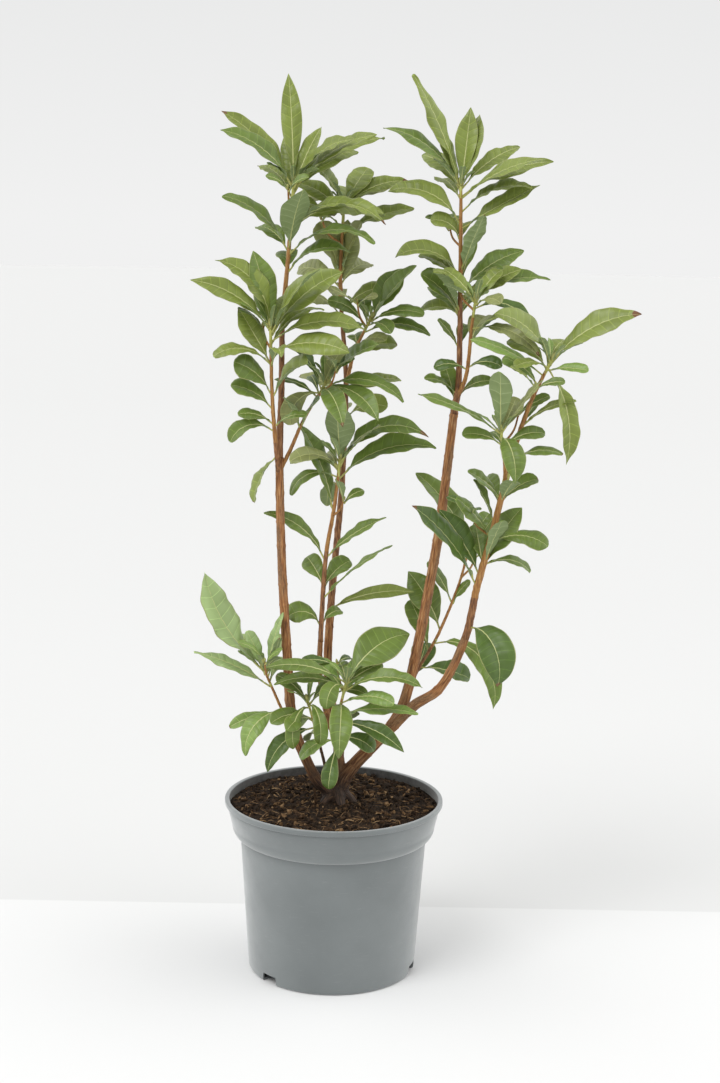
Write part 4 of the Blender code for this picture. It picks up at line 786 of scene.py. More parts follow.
class RhodoStageSettings(bpy.types.PropertyGroup):
    """Settings of the stage"""

    camera_place: FloatVectorProperty(name="Camera", description="Where the camera stands",
                                      default=(0.0220, -1.7660, 0.7518), size=3, unit="LENGTH",
                                      subtype="TRANSLATION")
    camera_tilt: FloatProperty(name="Tilt", description="How far the camera looks down",
                               default=math.radians(9.9245), unit="ROTATION", subtype="ANGLE")
    camera_bank: FloatProperty(name="Bank", description="How far the camera leans to its right",
                               default=math.radians(1.017), unit="ROTATION", subtype="ANGLE")
    lens: FloatProperty(name="Focal length", description="Focal length on a 36 mm sensor", default=59.88,
                        unit="CAMERA")
    table_edge: FloatProperty(name="Table edge", description="Where the white table ends behind the pot",
                              default=0.157, unit="LENGTH", subtype="DISTANCE")
    sky: FloatProperty(name="Sky light", description="Strength of the soft light from all round",
                       default=0.88)
    key: FloatProperty(name="Key light", description="Strength of the light from the upper left",
                       default=1.10)
    fill: FloatProperty(name="Fill light", description="Strength of the light from the right",
                        default=0.28)


# Meshes

class Shapes:
    """Corner points, faces and material names of many small shapes that become one mesh."""

    def __init__(self):
        self.points = []
        self.faces = []
        self.looks = []

    def add(self, points, faces, looks):
        """looks is the material's name for every face, or a list of a name for each face."""
        start = len(self.points)
        self.points += points
        self.faces += [tuple(index + start for index in face) for face in faces]
        self.looks += looks if isinstance(looks, list) else [looks] * len(faces)

    def piece(self, name, materials):
        """The object that they make, with the materials of the looks in use."""
        used = sorted(set(self.looks))
        numbers = {look: number for number, look in enumerate(used)}
        slots = [numbers[look] for look in self.looks]
        return new_piece(name, self.points, self.faces, slots, [materials[look] for look in used])


def new_piece(name, points, faces, slots, materials):
    """A smooth-shaded object, with a material number for each face."""
    mesh = bpy.data.meshes.new(name)
    mesh.from_pydata(points, [], faces)
    for material in materials:
        mesh.materials.append(material)
    mesh.polygons.foreach_set("material_index", slots)
    mesh.shade_smooth()
    mesh.update()
    obj = bpy.data.objects.new(name, mesh)
    bpy.context.scene.collection.objects.link(obj)
    return obj


def settle(obj, slot_name, *nodes):
    """The piece rides with the plant and stands for its frame nodes, which it hides; slot_name is not used.
    """
    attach(obj, "root")
    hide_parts(*nodes)


def directions(path):
    """Two directions across the path at each of its points, turning as little as possible on the way."""
    last = len(path) - 1
    across = None
    for number in range(last + 1):
        forward = (path[min(number + 1, last)] - path[max(number - 1, 0)]).normalized()
        if across is None:
            across = forward.orthogonal()
        across = (across - forward * across.dot(forward)).normalized()
        yield forward, across, forward.cross(across)


def round_tube(path, radii, sides, bulge=None):
    """A closed tube, with a point at each end.

    bulge gives a radius factor from a share of a turn and a ring."""
    points = []
    for ring, ((forward, across, over), centre, radius) in enumerate(zip(directions(path), path, radii)):
        for side in range(sides):
            angle = math.tau * side / sides
            reach = radius * (bulge(side / sides, ring) if bulge else 1.0)
            points.append(centre + (across * math.cos(angle) + over * math.sin(angle)) * reach)
    faces = tube_faces(len(path), sides)
    foot = len(points)
    points += [path[0] + (path[0] - path[1]).normalized() * radii[0] * 0.3,
               path[-1] + (path[-1] - path[-2]).normalized() * radii[-1] * 0.5]
    top = foot - sides
    faces += [(foot, (side + 1) % sides, side) for side in range(sides)]
    faces += [(foot + 1, top + side, top + (side + 1) % sides) for side in range(sides)]
    return points, faces


def disc_faces(rings, turns):
    """The faces of a disc: a fan round its middle point, then ring by ring."""
    faces = [(0, 1 + turn, 1 + (turn + 1) % turns) for turn in range(turns)]
    for ring in range(rings - 1):
        for turn in range(turns):
            a = 1 + ring * turns + turn
            b = 1 + ring * turns + (turn + 1) % turns
            faces.append((a, a + turns, b + turns, b))
    return faces


def lengths_along(path):
    """How far along the path each of its points lies."""
    reached = [0.0]
    for a, b in zip(path, path[1:]):
        reached.append(reached[-1] + (b - a).length)
    return reached


# Materials

# The colour sockets of a mix node, whose names it also gives to sockets of other kinds
MIX_FIRST = 6
MIX_SECOND = 7
MIX_RESULT = 2


def surface(name, roughness, colour=None):
    """A new material with its node tree and its shader."""
    material = bpy.data.materials.new(name)
    material.use_nodes = True
    shader = material.node_tree.nodes["Principled BSDF"]
    shader.inputs["Roughness"].default_value = roughness
    if colour:
        shader.inputs["Base Color"].default_value = (*colour, 1.0)
    return material, material.node_tree, shader


def noise_on(tree, scale, detail=4.0, stretch=(1.0, 1.0, 1.0), attribute=None):
    """Noise over the object's own coordinates, or over a named attribute of its mesh."""
    if attribute:
        place = tree.nodes.new("ShaderNodeAttribute")
        place.attribute_name = attribute
        source = place.outputs["Vector"]
    else:
        source = tree.nodes.new("ShaderNodeTexCoord").outputs["Object"]
    mapping = tree.nodes.new("ShaderNodeMapping")
    mapping.inputs["Scale"].default_value = stretch
    texture = tree.nodes.new("ShaderNodeTexNoise")
    texture.inputs["Scale"].default_value = scale
    texture.inputs["Detail"].default_value = detail
    tree.links.new(source, mapping.inputs["Vector"])
    tree.links.new(mapping.outputs["Vector"], texture.inputs["Vector"])
    return texture.outputs["Fac"]


def colours_by(tree, value, *stops):
    """A colour that follows a value: each stop is a position and a colour."""
    ramp = tree.nodes.new("ShaderNodeValToRGB")
    elements = ramp.color_ramp.elements
    while len(elements) < len(stops):
        elements.new(0.5)
    for element, (position, colour) in zip(elements, stops):
        element.position = position
        element.color = (*colour, 1.0)
    tree.links.new(value, ramp.inputs["Fac"])
    return ramp.outputs["Color"]


def mixed(tree, share, first, second):
    """The first colour, giving way to the second as the share rises."""
    mix = tree.nodes.new("ShaderNodeMix")
    mix.data_type = "RGBA"
    tree.links.new(share, mix.inputs["Factor"])
    tree.links.new(first, mix.inputs[MIX_FIRST])
    tree.links.new(second, mix.inputs[MIX_SECOND])
    return mix.outputs[MIX_RESULT]


def ranged(tree, value, low, high, first=0.3, last=0.7):
    """The value, stretched so that first becomes low and last becomes high."""
    stretch = tree.nodes.new("ShaderNodeMapRange")
    stretch.inputs["From Min"].default_value = first
    stretch.inputs["From Max"].default_value = last
    stretch.inputs["To Min"].default_value = low
    stretch.inputs["To Max"].default_value = high
    tree.links.new(value, stretch.inputs["Value"])
    return stretch.outputs["Result"]


def painted(tree, name):
    """The value that a mesh holds at its points under that name."""
    value = tree.nodes.new("ShaderNodeAttribute")
    value.attribute_name = name
    return value.outputs["Fac"]


def relief(tree, shader, height, distance, strength):
    """Tilts the shading after a height, without moving the mesh."""
    bump = tree.nodes.new("ShaderNodeBump")
    bump.inputs["Distance"].default_value = distance
    bump.inputs["Strength"].default_value = strength
    tree.links.new(height, bump.inputs["Height"])
    tree.links.new(bump.outputs["Normal"], shader.inputs["Normal"])


def leaf_surface(name, colour, roughness, grain):
    """A leaf's skin: one plain tone, with fine pores and an uneven gloss."""
    material, tree, shader = surface(name, roughness, colour)
    shader.inputs["Specular IOR Level"].default_value = 0.42
    tree.links.new(ranged(tree, noise_on(tree, 90.0, 3.0), roughness - 0.07, roughness + 0.09),
                   shader.inputs["Roughness"])
    relief(tree, shader, noise_on(tree, 1400.0, 2.0), grain, 0.6)
    return material


def leaf_materials():
    """Every look of a leaf, by name."""
    looks = {}
    for tone, colour in TONES.items():
        for shade, factor in SHADES.items():
            looks[tone + "_" + shade] = ([channel * factor for channel in colour], LEAF_ROUGHNESS)
        looks[tone + "_vein"] = ([channel * VEIN_LIFT for channel in colour], 0.48)
    looks["underside"] = (UNDERSIDE, 0.62)
    looks["underside_vein"] = (UNDERSIDE_VEIN, 0.62)
    looks["midrib"] = (MIDRIB, 0.48)
    looks["margin"] = (MARGIN, 0.55)
    looks["petiole"] = (PETIOLE, 0.48)
    looks["brown"] = (BROWN, 0.70)
    return {name: leaf_surface("leaf_" + name, colour, roughness, 0.00010)
            for name, (colour, roughness) in looks.items()}


def bark_material():
    """Orange-brown bark, streaked along the limb, with darker scars and a grey bloom, and near-black towards
    the stump: the stump's own dark bark and painted shade.
    """
    material, tree, shader = surface("bark_brown", 0.72)
    streaks = noise_on(tree, 1.0, 5.0, (900.0, 900.0, 75.0), "grain")
    patches = noise_on(tree, 1.0, 3.0, (120.0, 120.0, 28.0), "grain")
    fine = noise_on(tree, 1.0, 4.0, (2600.0, 2600.0, 420.0), "grain")
    warm = colours_by(tree, streaks, (0.34, (0.105, 0.037, 0.011)), (0.45, (0.255, 0.098, 0.028)),
                      (0.56, (0.365, 0.160, 0.050)), (0.70, (0.520, 0.310, 0.140)))
    dusky = colours_by(tree, fine, (0.38, (0.090, 0.040, 0.016)), (0.62, (0.300, 0.178, 0.086)))
    upper = mixed(tree, ranged(tree, patches, 0.0, 0.85, 0.48, 0.68), warm, dusky)
    # Near-black low on the wood: the stump's own dark bark, and painted shade on the boughs' lower parts
    stump = colours_by(tree, streaks, (0.35, (0.010, 0.004, 0.001)), (0.52, (0.032, 0.014, 0.005)),
                       (0.70, (0.098, 0.048, 0.020)))
    tree.links.new(mixed(tree, painted(tree, "stump"), upper, stump), shader.inputs["Base Color"])
    tree.links.new(ranged(tree, streaks, 0.80, 0.62), shader.inputs["Roughness"])
    relief(tree, shader, fine, 0.0006, 0.8)
    return material


def shoot_materials():
    """Skins of a year's shoot, from its woody foot, painted in shade near the stump, to its green tip, and
    of its buds.
    """
    tones = (
        # shoot_dusky is painted shade on a shoot's stretch low near the stump
        ("shoot_dusky", ((0.024, 0.011, 0.004), (0.085, 0.041, 0.016), (0.170, 0.098, 0.046)), 0.74),
        ("shoot_brown", ((0.075, 0.027, 0.009), (0.215, 0.086, 0.027), (0.340, 0.170, 0.068)), 0.62),
        ("shoot_red", ((0.180, 0.068, 0.015), (0.325, 0.145, 0.034), (0.420, 0.232, 0.066)), 0.54),
        ("shoot_green", ((0.260, 0.260, 0.050), (0.380, 0.390, 0.085), (0.460, 0.450, 0.130)), 0.50),
        ("bud_scale", ((0.190, 0.150, 0.050), (0.290, 0.300, 0.080), (0.380, 0.370, 0.130)), 0.52),
    )
    materials = {}
    for name, (dark, middle, light), roughness in tones:
        material, tree, shader = surface(name, roughness)
        streaks = noise_on(tree, 1.0, 4.0, (700.0, 700.0, 110.0))
        tree.links.new(colours_by(tree, streaks, (0.32, dark), (0.50, middle), (0.70, light)),
                       shader.inputs["Base Color"])
        relief(tree, shader, noise_on(tree, 1.0, 3.0, (1500.0, 1500.0, 400.0)), 0.0003, 0.7)
        materials[name] = material
    return materials


def pot_material(settings):
    """Satin grey plastic: faint clouds and scuffs, a fine mould grain, and a near-black inner wall below the
    rim, partly peat dust and partly painted shade.
    """
    material, tree, shader = surface("pot_plastic", settings.roughness)
    shader.inputs["Sheen Weight"].default_value = settings.sheen
    clouds = noise_on(tree, 14.0, 4.0)
    scuffs = noise_on(tree, 1.0, 6.0, (90.0, 90.0, 700.0))
    grey = colours_by(tree, clouds, (0.35, (0.132, 0.148, 0.149)), (0.65, (0.158, 0.176, 0.177)))
    pale = colours_by(tree, clouds, (0.35, (0.215, 0.228, 0.222)), (0.65, (0.245, 0.255, 0.246)))
    clean = mixed(tree, ranged(tree, scuffs, 0.0, 0.45, 0.62, 0.80), grey, pale)
    # The inner wall's near-black: partly peat dust, partly painted shade inside the pot
    specks = noise_on(tree, 160.0, 5.0)
    dust_and_shade = colours_by(tree, specks, (0.40, (0.022, 0.020, 0.017)), (0.62, (0.050, 0.048, 0.044)))
    tree.links.new(mixed(tree, painted(tree, "inside"), clean, dust_and_shade), shader.inputs["Base Color"])
    gloss = ranged(tree, noise_on(tree, 60.0, 5.0), settings.roughness - 0.08, settings.roughness + 0.14)
    tree.links.new(gloss, shader.inputs["Roughness"])
    relief(tree, shader, noise_on(tree, 900.0, 3.0), 0.00012, 0.5)
    return material


def peat_material(name, dark, middle, light, scale):
    """One look of the peat: matte, in three tones with a rough grain."""
    material, tree, shader = surface(name, 0.92)
    shader.inputs["Specular IOR Level"].default_value = 0.15
    tones = colours_by(tree, noise_on(tree, scale, 6.0), (0.36, dark), (0.52, middle), (0.70, light))
    tree.links.new(tones, shader.inputs["Base Color"])
    relief(tree, shader, noise_on(tree, scale * 1.7, 6.0), 0.0012, 0.9)
    return material


def peat_materials():
    """The peat's looks, by name."""
    looks = (
        ("peat_dark", (0.007, 0.004, 0.002), (0.020, 0.012, 0.007), (0.048, 0.030, 0.017), 420.0),
        ("peat_brown", (0.020, 0.010, 0.005), (0.050, 0.028, 0.014), (0.100, 0.060, 0.032), 380.0),
        ("peat_tan", (0.080, 0.044, 0.020), (0.170, 0.100, 0.048), (0.280, 0.180, 0.096), 320.0),
        ("peat_straw", (0.170, 0.102, 0.048), (0.310, 0.198, 0.100), (0.430, 0.300, 0.165), 320.0),
    )
    return {look[0]: peat_material(*look) for look in looks}


# Pot

def arc_points(middle, size, first, last, steps):
    """Points of an arc: its middle as (radius, height), its size along both, and two angles in degrees."""
    for step in range(steps + 1):
        angle = math.radians(first + (last - first) * step / steps)
        yield middle[0] + size[0] * math.cos(angle), middle[1] + size[1] * math.sin(angle)


def pot_profile():
    """The outside from the foot to the rim, then the inside down to the soil."""
    lip = POT_HEIGHT - POT_LIP_DEPTH
    edge = POT_EDGE_RADIUS
    inner_top = POT_BAND_TOP_RADIUS - POT_WALL
    outer = [(0.0, 0.0), (POT_FOOT_RADIUS * 0.6, 0.0)]
    outer += arc_points((POT_FOOT_RADIUS - POT_FOOT_CHAMFER, POT_FOOT_CHAMFER),
                        (POT_FOOT_CHAMFER, POT_FOOT_CHAMFER), -90, 0, 5)
    outer += [(POT_FOOT_RADIUS + (POT_SHOULDER_RADIUS - POT_FOOT_RADIUS) * n / 12,
               POT_FOOT_CHAMFER + (POT_SHOULDER - POT_FOOT_CHAMFER) * n / 12) for n in range(1, 12)]
    outer += list(arc_points((POT_SHOULDER_RADIUS, POT_BAND_BOTTOM),
                             (POT_BAND_BOTTOM_RADIUS - POT_SHOULDER_RADIUS, POT_BAND_BOTTOM - POT_SHOULDER),
                             -90, 0, 10))
    outer += [(POT_BAND_BOTTOM_RADIUS + 0.0004, POT_BAND_BOTTOM + 0.0010)]
    outer += [(POT_BAND_TOP_RADIUS - 0.0004, lip - 0.0030), (POT_BAND_TOP_RADIUS, lip - 0.0012),
              (POT_BAND_TOP_RADIUS, lip)]
    outer += arc_points((POT_RIM_RADIUS - edge, lip + edge), (edge, edge), -90, 0, 4)
    outer += arc_points((POT_RIM_RADIUS - edge, POT_HEIGHT - edge), (edge, edge), 0, 90, 5)
    inner = list(arc_points((inner_top + edge, POT_HEIGHT - edge), (edge, edge), 90, 180, 4))
    inner += [(inner_top, lip - 0.002), (POT_BAND_BOTTOM_RADIUS - POT_WALL, POT_BAND_BOTTOM),
              (POT_SHOULDER_RADIUS - POT_WALL, POT_SHOULDER), (POT_FOOT_RADIUS - POT_WALL, POT_FLOOR),
              (0.0, POT_FLOOR)]
    return outer, inner


def foot_notch(number, slant):
    """The wedge that is cut out of the pot's foot, wider below than above."""
    bearing = NOTCH_FIRST_BEARING + number * 360 / NOTCH_COUNT
    outward = heading(bearing)
    side = Vector((outward.y, -outward.x, 0.0))
    points = []
    ends = ((-NOTCH_HEIGHT, 0.5, 0.5), (NOTCH_HEIGHT, 0.5 - slant / NOTCH_WIDTH, 0.47))
    for height, half_left, half_right in ends:
        for depth in (POT_FOOT_RADIUS - NOTCH_DEPTH, POT_FOOT_RADIUS + 0.01):
            for reach in (half_left, -half_right):
                points.append(outward * depth + side * reach * NOTCH_WIDTH + Vector((0, 0, height)))
    shape = bmesh.new()
    for point in points:
        shape.verts.new(point)
    bmesh.ops.convex_hull(shape, input=shape.verts)
    mesh = bpy.data.meshes.new("foot_notch")
    shape.to_mesh(mesh)
    shape.free()
    obj = bpy.data.objects.new("foot_notch", mesh)
    bpy.context.scene.collection.objects.link(obj)
    return obj


def apply_modifiers(obj):
    """Bakes the object's modifiers into its mesh."""
    graph = bpy.context.evaluated_depsgraph_get()
    mesh = bpy.data.meshes.new_from_object(obj.evaluated_get(graph))
    obj.modifiers.clear()
    obj.data = mesh


def mark_float(mesh, name, values):
    """Keeps a value for each of the mesh's points under that name, for its material."""
    attribute = mesh.attributes.new(name, "FLOAT", "POINT")
    attribute.data.foreach_set("value", values)


def in_fixed_order(mesh):
    """The mesh's points and faces, sorted by place, as a cut deals them out in another order each time."""
    keys = [tuple(round(value, 7) for value in vert.co) for vert in mesh.vertices]
    order = sorted(range(len(keys)), key=keys.__getitem__)
    number = {old: new for new, old in enumerate(order)}
    faces = []
    for face in mesh.polygons:
        corners = [number[index] for index in face.vertices]
        first = corners.index(min(corners))
        faces.append(tuple(corners[first:] + corners[:first]))
    return [mesh.vertices[index].co.copy() for index in order], sorted(faces)


def make_pot_shell(settings):
    """The turned shell of the pot, with its notches cut and the dark part of its inside marked, where peat
    dust and painted shade go.
    """
    outer, inner = pot_profile()
    profile = outer + inner
    shape = bmesh.new()
    verts = [shape.verts.new((radius, 0.0, height)) for radius, height in profile]
    edges = [shape.edges.new(pair) for pair in zip(verts, verts[1:])]
    bmesh.ops.spin(shape, geom=verts + edges, axis=(0, 0, 1), cent=(0, 0, 0), angle=math.tau,
                   steps=POT_TURNS, use_merge=True)
    bmesh.ops.remove_doubles(shape, verts=shape.verts, dist=0.00001)
    bmesh.ops.recalc_face_normals(shape, faces=shape.faces)
    mesh = bpy.data.meshes.new("turned_shell")
    shape.to_mesh(mesh)
    shape.free()
    shell = bpy.data.objects.new("turned_shell", mesh)
    bpy.context.scene.collection.objects.link(shell)
    notches = [foot_notch(number, settings.notch_slant) for number in range(NOTCH_COUNT)]
    for notch in notches:
        cut = shell.modifiers.new("cut", "BOOLEAN")
        cut.operation = "DIFFERENCE"
        cut.object = notch
    apply_modifiers(shell)
    points, faces = in_fixed_order(shell.data)
    for helper in notches + [shell]:
        bpy.data.objects.remove(helper)
    pot = new_piece("pot_shell", points, faces, [0] * len(faces), [pot_material(settings)])
    pot.data.set_sharp_from_angle(angle=math.radians(POT_SHARP_ANGLE))
    # The whole inner wall below the rim is marked for the near-black of peat dust and painted shade
    dusty = []
    flare = POT_BAND_TOP_RADIUS - POT_BAND_BOTTOM_RADIUS
    for vert in pot.data.vertices:
        rise = (vert.co.z - POT_BAND_BOTTOM) / (POT_HEIGHT - POT_LIP_DEPTH - POT_BAND_BOTTOM)
        wall = POT_BAND_BOTTOM_RADIUS + flare * min(1.0, rise) - POT_WALL / 2
        inside = rise > 0 and math.hypot(vert.co.x, vert.co.y) < wall
        dusty.append(max(0.0, min(1.0, (POT_HEIGHT - 0.0004 - vert.co.z) / 0.0005)) if inside else 0.0)
    mark_float(pot.data, "inside", dusty)
    return pot


# Peat

def peat_height(x, y, swell):
    """Height of the peat's surface: a little lower at the wall and higher round the stump."""
    radius = math.hypot(x, y)
    wall = POT_BAND_TOP_RADIUS - POT_WALL
    humps = noise.fractal(Vector((x, y, 0.0)) * 55.0, 1.0, 2.0, 4)
    grit = noise.fractal(Vector((x, y, 3.0)) * 330.0, 0.9, 2.0, 3)
    mound = PEAT_MOUND * math.exp(-(radius / PEAT_MOUND_RADIUS) ** 2)
    fall = SOIL_EDGE_DROP * (radius / wall) ** 4
    return SOIL_TOP + PEAT_LIFT + mound - fall + swell * 0.45 * humps + PEAT_GRIT * grit


def make_peat_surface(settings, materials):
    """The peat's humped surface, with its rings closer together towards the wall."""
    wall = POT_BAND_TOP_RADIUS - POT_WALL - 0.0008
    points = [Vector((0.0, 0.0, peat_height(0.0, 0.0, settings.swell)))]
    for ring in range(1, PEAT_RINGS + 1):
        radius = wall * (ring / PEAT_RINGS) ** 0.85
        for turn in range(PEAT_TURNS):
            angle = math.tau * (turn + 0.5 * (ring % 2)) / PEAT_TURNS
            x = radius * math.cos(angle)
            y = radius * math.sin(angle)
            height = max(SOIL_TOP - SOIL_EDGE_DROP + 0.0002, peat_height(x, y, settings.swell))
            points.append(Vector((x, y, height)))
    faces = disc_faces(PEAT_RINGS, PEAT_TURNS)
    looks = ["peat_dark" if noise.noise((points[face[0]] + points[face[2]]) * 110.0) < 0.22 else "peat_brown"
             for face in faces]
    surface_shape = Shapes()
    surface_shape.add(points, faces, looks)
    return surface_shape.piece("peat_surface", materials)


def in_the_pot(chance, reach):
    """A random place on the peat, as likely in one spot as in any other."""
    angle = chance.uniform(0, math.tau)
    radius = reach * math.sqrt(chance.random())
    return radius * math.cos(angle), radius * math.sin(angle)


def crumb_shape(chance):
    """A small lump with uneven corners."""
    shape = bmesh.new()
    bmesh.ops.create_icosphere(shape, subdivisions=2, radius=1.0)
    shift = Vector((chance.uniform(0, 50), chance.uniform(0, 50), chance.uniform(0, 50)))
    points = [vert.co * (1.0 + 0.55 * noise.noise(vert.co * 1.3 + shift)) for vert in shape.verts]
    faces = [tuple(vert.index for vert in face.verts) for face in shape.faces]
    shape.free()
    return points, faces


def make_peat_crumbs(settings, materials, chance):
    """Loose crumbs, sunk a little into the peat, with many small ones for each large one."""
    crumbs = Shapes()
    kinds = [crumb_shape(chance) for _ in range(CRUMB_KINDS)]
    reach = POT_BAND_TOP_RADIUS - POT_WALL - 0.004
    for _ in range(settings.crumbs):
        x, y = in_the_pot(chance, reach)
        size = 0.0007 + 0.0025 * chance.random() ** 2.2
        points, faces = chance.choice(kinds)
        angle = chance.uniform(0, math.tau)
        turn = Matrix.Rotation(angle, 3, Vector((chance.uniform(-1, 1), chance.uniform(-1, 1), 1)))
        squeeze = Vector([chance.uniform(*span) for span in ((0.8, 1.7), (0.7, 1.1), (0.5, 0.9))]) * size
        place = Vector((x, y, peat_height(x, y, settings.swell) + size * 0.25))
        kind = chance.choices(("peat_dark", "peat_brown", "peat_tan"), (5, 3, 1))[0]
        crumbs.add([turn @ (point * squeeze) + place for point in points], faces, kind)
    return crumbs.piece("peat_crumbs", materials)


def make_peat_fibres(settings, materials, chance):
    """Fibres and thin bark strips that lie on the peat, and a dead stub beside the stump."""
    fibres = Shapes()
    reach = POT_BAND_TOP_RADIUS - POT_WALL - 0.010
    for _ in range(settings.fibres):
        x, y = in_the_pot(chance, reach)
        angle = chance.uniform(0, math.tau)
        bend = chance.uniform(-70, 70)
        strip = chance.random() < 0.3
        length = chance.uniform(0.006, 0.013) if strip else chance.uniform(0.006, 0.020)
        lift = chance.uniform(0.0, 0.0022)
        path = []
        for step in range(7):
            share = step / 6
            if math.hypot(x, y) > reach + 0.006:
                break
            hump = lift * 4 * share * (1 - share) + 0.0005
            path.append(Vector((x, y, min(POT_HEIGHT - 0.001, peat_height(x, y, settings.swell) + hump))))
            x += length / 6 * math.cos(angle)
            y += length / 6 * math.sin(angle)
            angle += math.radians(bend / 6)
        if len(path) < 3:
            continue
        radius = chance.uniform(0.0006, 0.0013) if strip else chance.uniform(0.00016, 0.00038)
        flat = chance.uniform(0.25, 0.5) if strip else 1.0
        radii = [radius * (1 - 0.5 * abs(2 * n / (len(path) - 1) - 1) ** 2) for n in range(len(path))]
        points, faces = round_tube(path, radii, 6)
        if flat < 1.0:
            middle = sum((point.z for point in points)) / len(points)
            points = [Vector((point.x, point.y, middle + (point.z - middle) * flat)) for point in points]
        shares = (2, 4, 1) if strip else (2, 4, 2)
        fibres.add(points, faces, chance.choices(("peat_brown", "peat_tan", "peat_straw"), shares)[0])
    stub = [Vector((-0.017, -0.014, GROUND - 0.002)), Vector((-0.0185, -0.0165, GROUND + 0.009)),
            Vector((-0.0190, -0.0185, GROUND + 0.017)), Vector((-0.0205, -0.0190, GROUND + 0.022))]
    radii = [0.0017 - 0.00006 * n for n in range(13)]

    def gnarls(turn, ring):
        return 1.0 + 0.12 * math.sin(ring * 1.7 + turn * math.tau * 2)

    fibres.add(*round_tube(smooth_path(stub), radii, 10, gnarls), "peat_brown")
    return fibres.piece("peat_fibres", materials)


# Bark

def root_tubes():
    """The centre line and radii of every root, from the stump down into the peat."""
    for number, bearing in enumerate(ROOT_BEARINGS):
        outward = heading(bearing)
        crown = STUMP_MIDDLE + Vector((0, 0, ROOT_CROWN - ROOT_STEP * number)) + outward * ROOT_INSET
        elbow = STUMP_MIDDLE + Vector((0, 0, GROUND + ROOT_RADIUS)) + outward * ROOT_REACH * 0.55
        end = STUMP_MIDDLE + Vector((0, 0, GROUND - ROOT_RADIUS)) + outward * ROOT_REACH
        path = smooth_path((crown, elbow, end), steps=LIMB_STEPS)
        radii = [ROOT_RADIUS * (1.0 - 0.35 * n / (len(path) - 1)) for n in range(len(path))]
        yield path, radii


def woody_tubes():
    """The centre lines and radii of the stump's limbs, its roots and the boughs."""
    for limb in STUMP_LIMBS + BOUGHS:
        yield limb_path(limb, LIMB_STEPS)
    yield from root_tubes()


def bark_relief(grain, settings):
    """Height of the bark at a place given across and along its limb."""
    ridges = noise.fractal(Vector((grain.x * 900, grain.y * 900, grain.z * 95)), 0.9, 2.1, 4)
    knots = noise.noise(Vector((grain.x * 260, grain.y * 260, grain.z * 120)))
    ring = abs(((grain.z / settings.node_pitch + 0.2 * math.sin(grain.z * 90)) % 1.0) - 0.5) * 2
    node = math.exp(-((1 - ring) * settings.node_pitch / NODE_HALF_LENGTH) ** 2)
    return settings.ridge * (0.75 * ridges + 0.5 * knots) + NODE_SWELL * node


def make_bark(settings):
    """One skin over the stump, its roots and the boughs, with the bark's relief along each limb."""
    limbs = Shapes()
    samples = []
    start = 0.0
    for path, radii in woody_tubes():
        limbs.add(*round_tube(path, radii, LIMB_SIDES), "bark")
        reached = lengths_along(path)
        for (forward, across, over), centre, along in zip(directions(path), path, reached):
            samples.append((centre, across, over, start + along))
        start += reached[-1] + LIMB_OFFSET
    bark = limbs.piece("bark_limbs", {"bark": bark_material()})
    remesh = bark.modifiers.new("skin", "REMESH")
    remesh.mode = "VOXEL"
    remesh.voxel_size = settings.voxel
    remesh.adaptivity = 0.0
    smooth = bark.modifiers.new("smooth", "SMOOTH")
    smooth.factor = 0.5
    smooth.iterations = 3
    apply_modifiers(bark)
    mesh = bark.data
    tree = KDTree(len(samples))
    for number, sample in enumerate(samples):
        tree.insert(sample[0], number)
    tree.balance()
    places = []
    moved = []
    stump_dark_and_shade = []
    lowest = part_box("trunk")[0].z
    for vert in mesh.vertices:
        centre, across, over, along = samples[tree.find(vert.co)[1]]
        offset = vert.co - centre
        forward = across.cross(over)
        grain = Vector((offset.dot(across), offset.dot(over), along + offset.dot(forward)))
        places.extend(grain)
        place = vert.co + vert.normal * bark_relief(grain, settings)
        place.z = max(place.z, lowest)
        moved.extend(place)
        # Painted shade and the stump's dark bark, from the darkening height down
        stump_dark_and_shade.append(max(0.0, min(1.0, (STUMP_DARK_AND_SHADE_TOP - vert.co.z) / STUMP_DARK_AND_SHADE_FADE)))
    mesh.vertices.foreach_set("co", moved)
    attribute = mesh.attributes.new("grain", "FLOAT_VECTOR", "POINT")
    attribute.data.foreach_set("vector", places)
    mark_float(mesh, "stump", stump_dark_and_shade)
    mesh.shade_smooth()
    mesh.update()
    return bark


# Shoots

def add_shoot(shapes, limb, settings, chance):
    """One shoot: painted in shade near the stump, woody below, red-brown above and green at its tip, with
    leaf scars on its way.
    """
    path, radii = limb_path(limb, LIMB_STEPS)
    reached = lengths_along(path)
    length = reached[-1]
    turn = chance.uniform(0, 1)

    def bulge(side, ring):
        along = reached[ring]
        scar = along / settings.node_pitch
        near = abs(scar - round(scar)) * settings.node_pitch / SCAR_HALF_LENGTH
        aside = abs((side - turn - round(scar) * SCAR_TURN + 0.5) % 1.0 - 0.5) / SCAR_HALF_TURN
        lump = math.exp(-near ** 2) * math.exp(-aside ** 2)
        return 1.0 + SCAR_SWELL * lump + 0.05 * math.sin(along * 700 + side * math.tau * 3)

    points, faces = round_tube(path, radii, SHOOT_SIDES, bulge)
    woody = length - SHOOT_YOUNG + chance.uniform(-0.02, 0.02)
    green = length - SHOOT_GREEN + chance.uniform(-0.006, 0.004)
    looks = []
    for face in faces[:(len(path) - 1) * SHOOT_SIDES]:
        ring = face[0] // SHOOT_SIDES
        along = reached[ring] + chance.uniform(-0.003, 0.003)
        # Below the bark's darkening height the shoot gets painted shade
        dusky = path[ring].z + chance.uniform(-0.006, 0.006) < STUMP_DARK_AND_SHADE_TOP
        looks.append("shoot_dusky" if dusky else "shoot_brown" if along < woody else
                     "shoot_red" if along < green else "shoot_green")
    looks += [looks[0]] * SHOOT_SIDES + ["shoot_green"] * SHOOT_SIDES
    shapes.add(points, faces, looks)


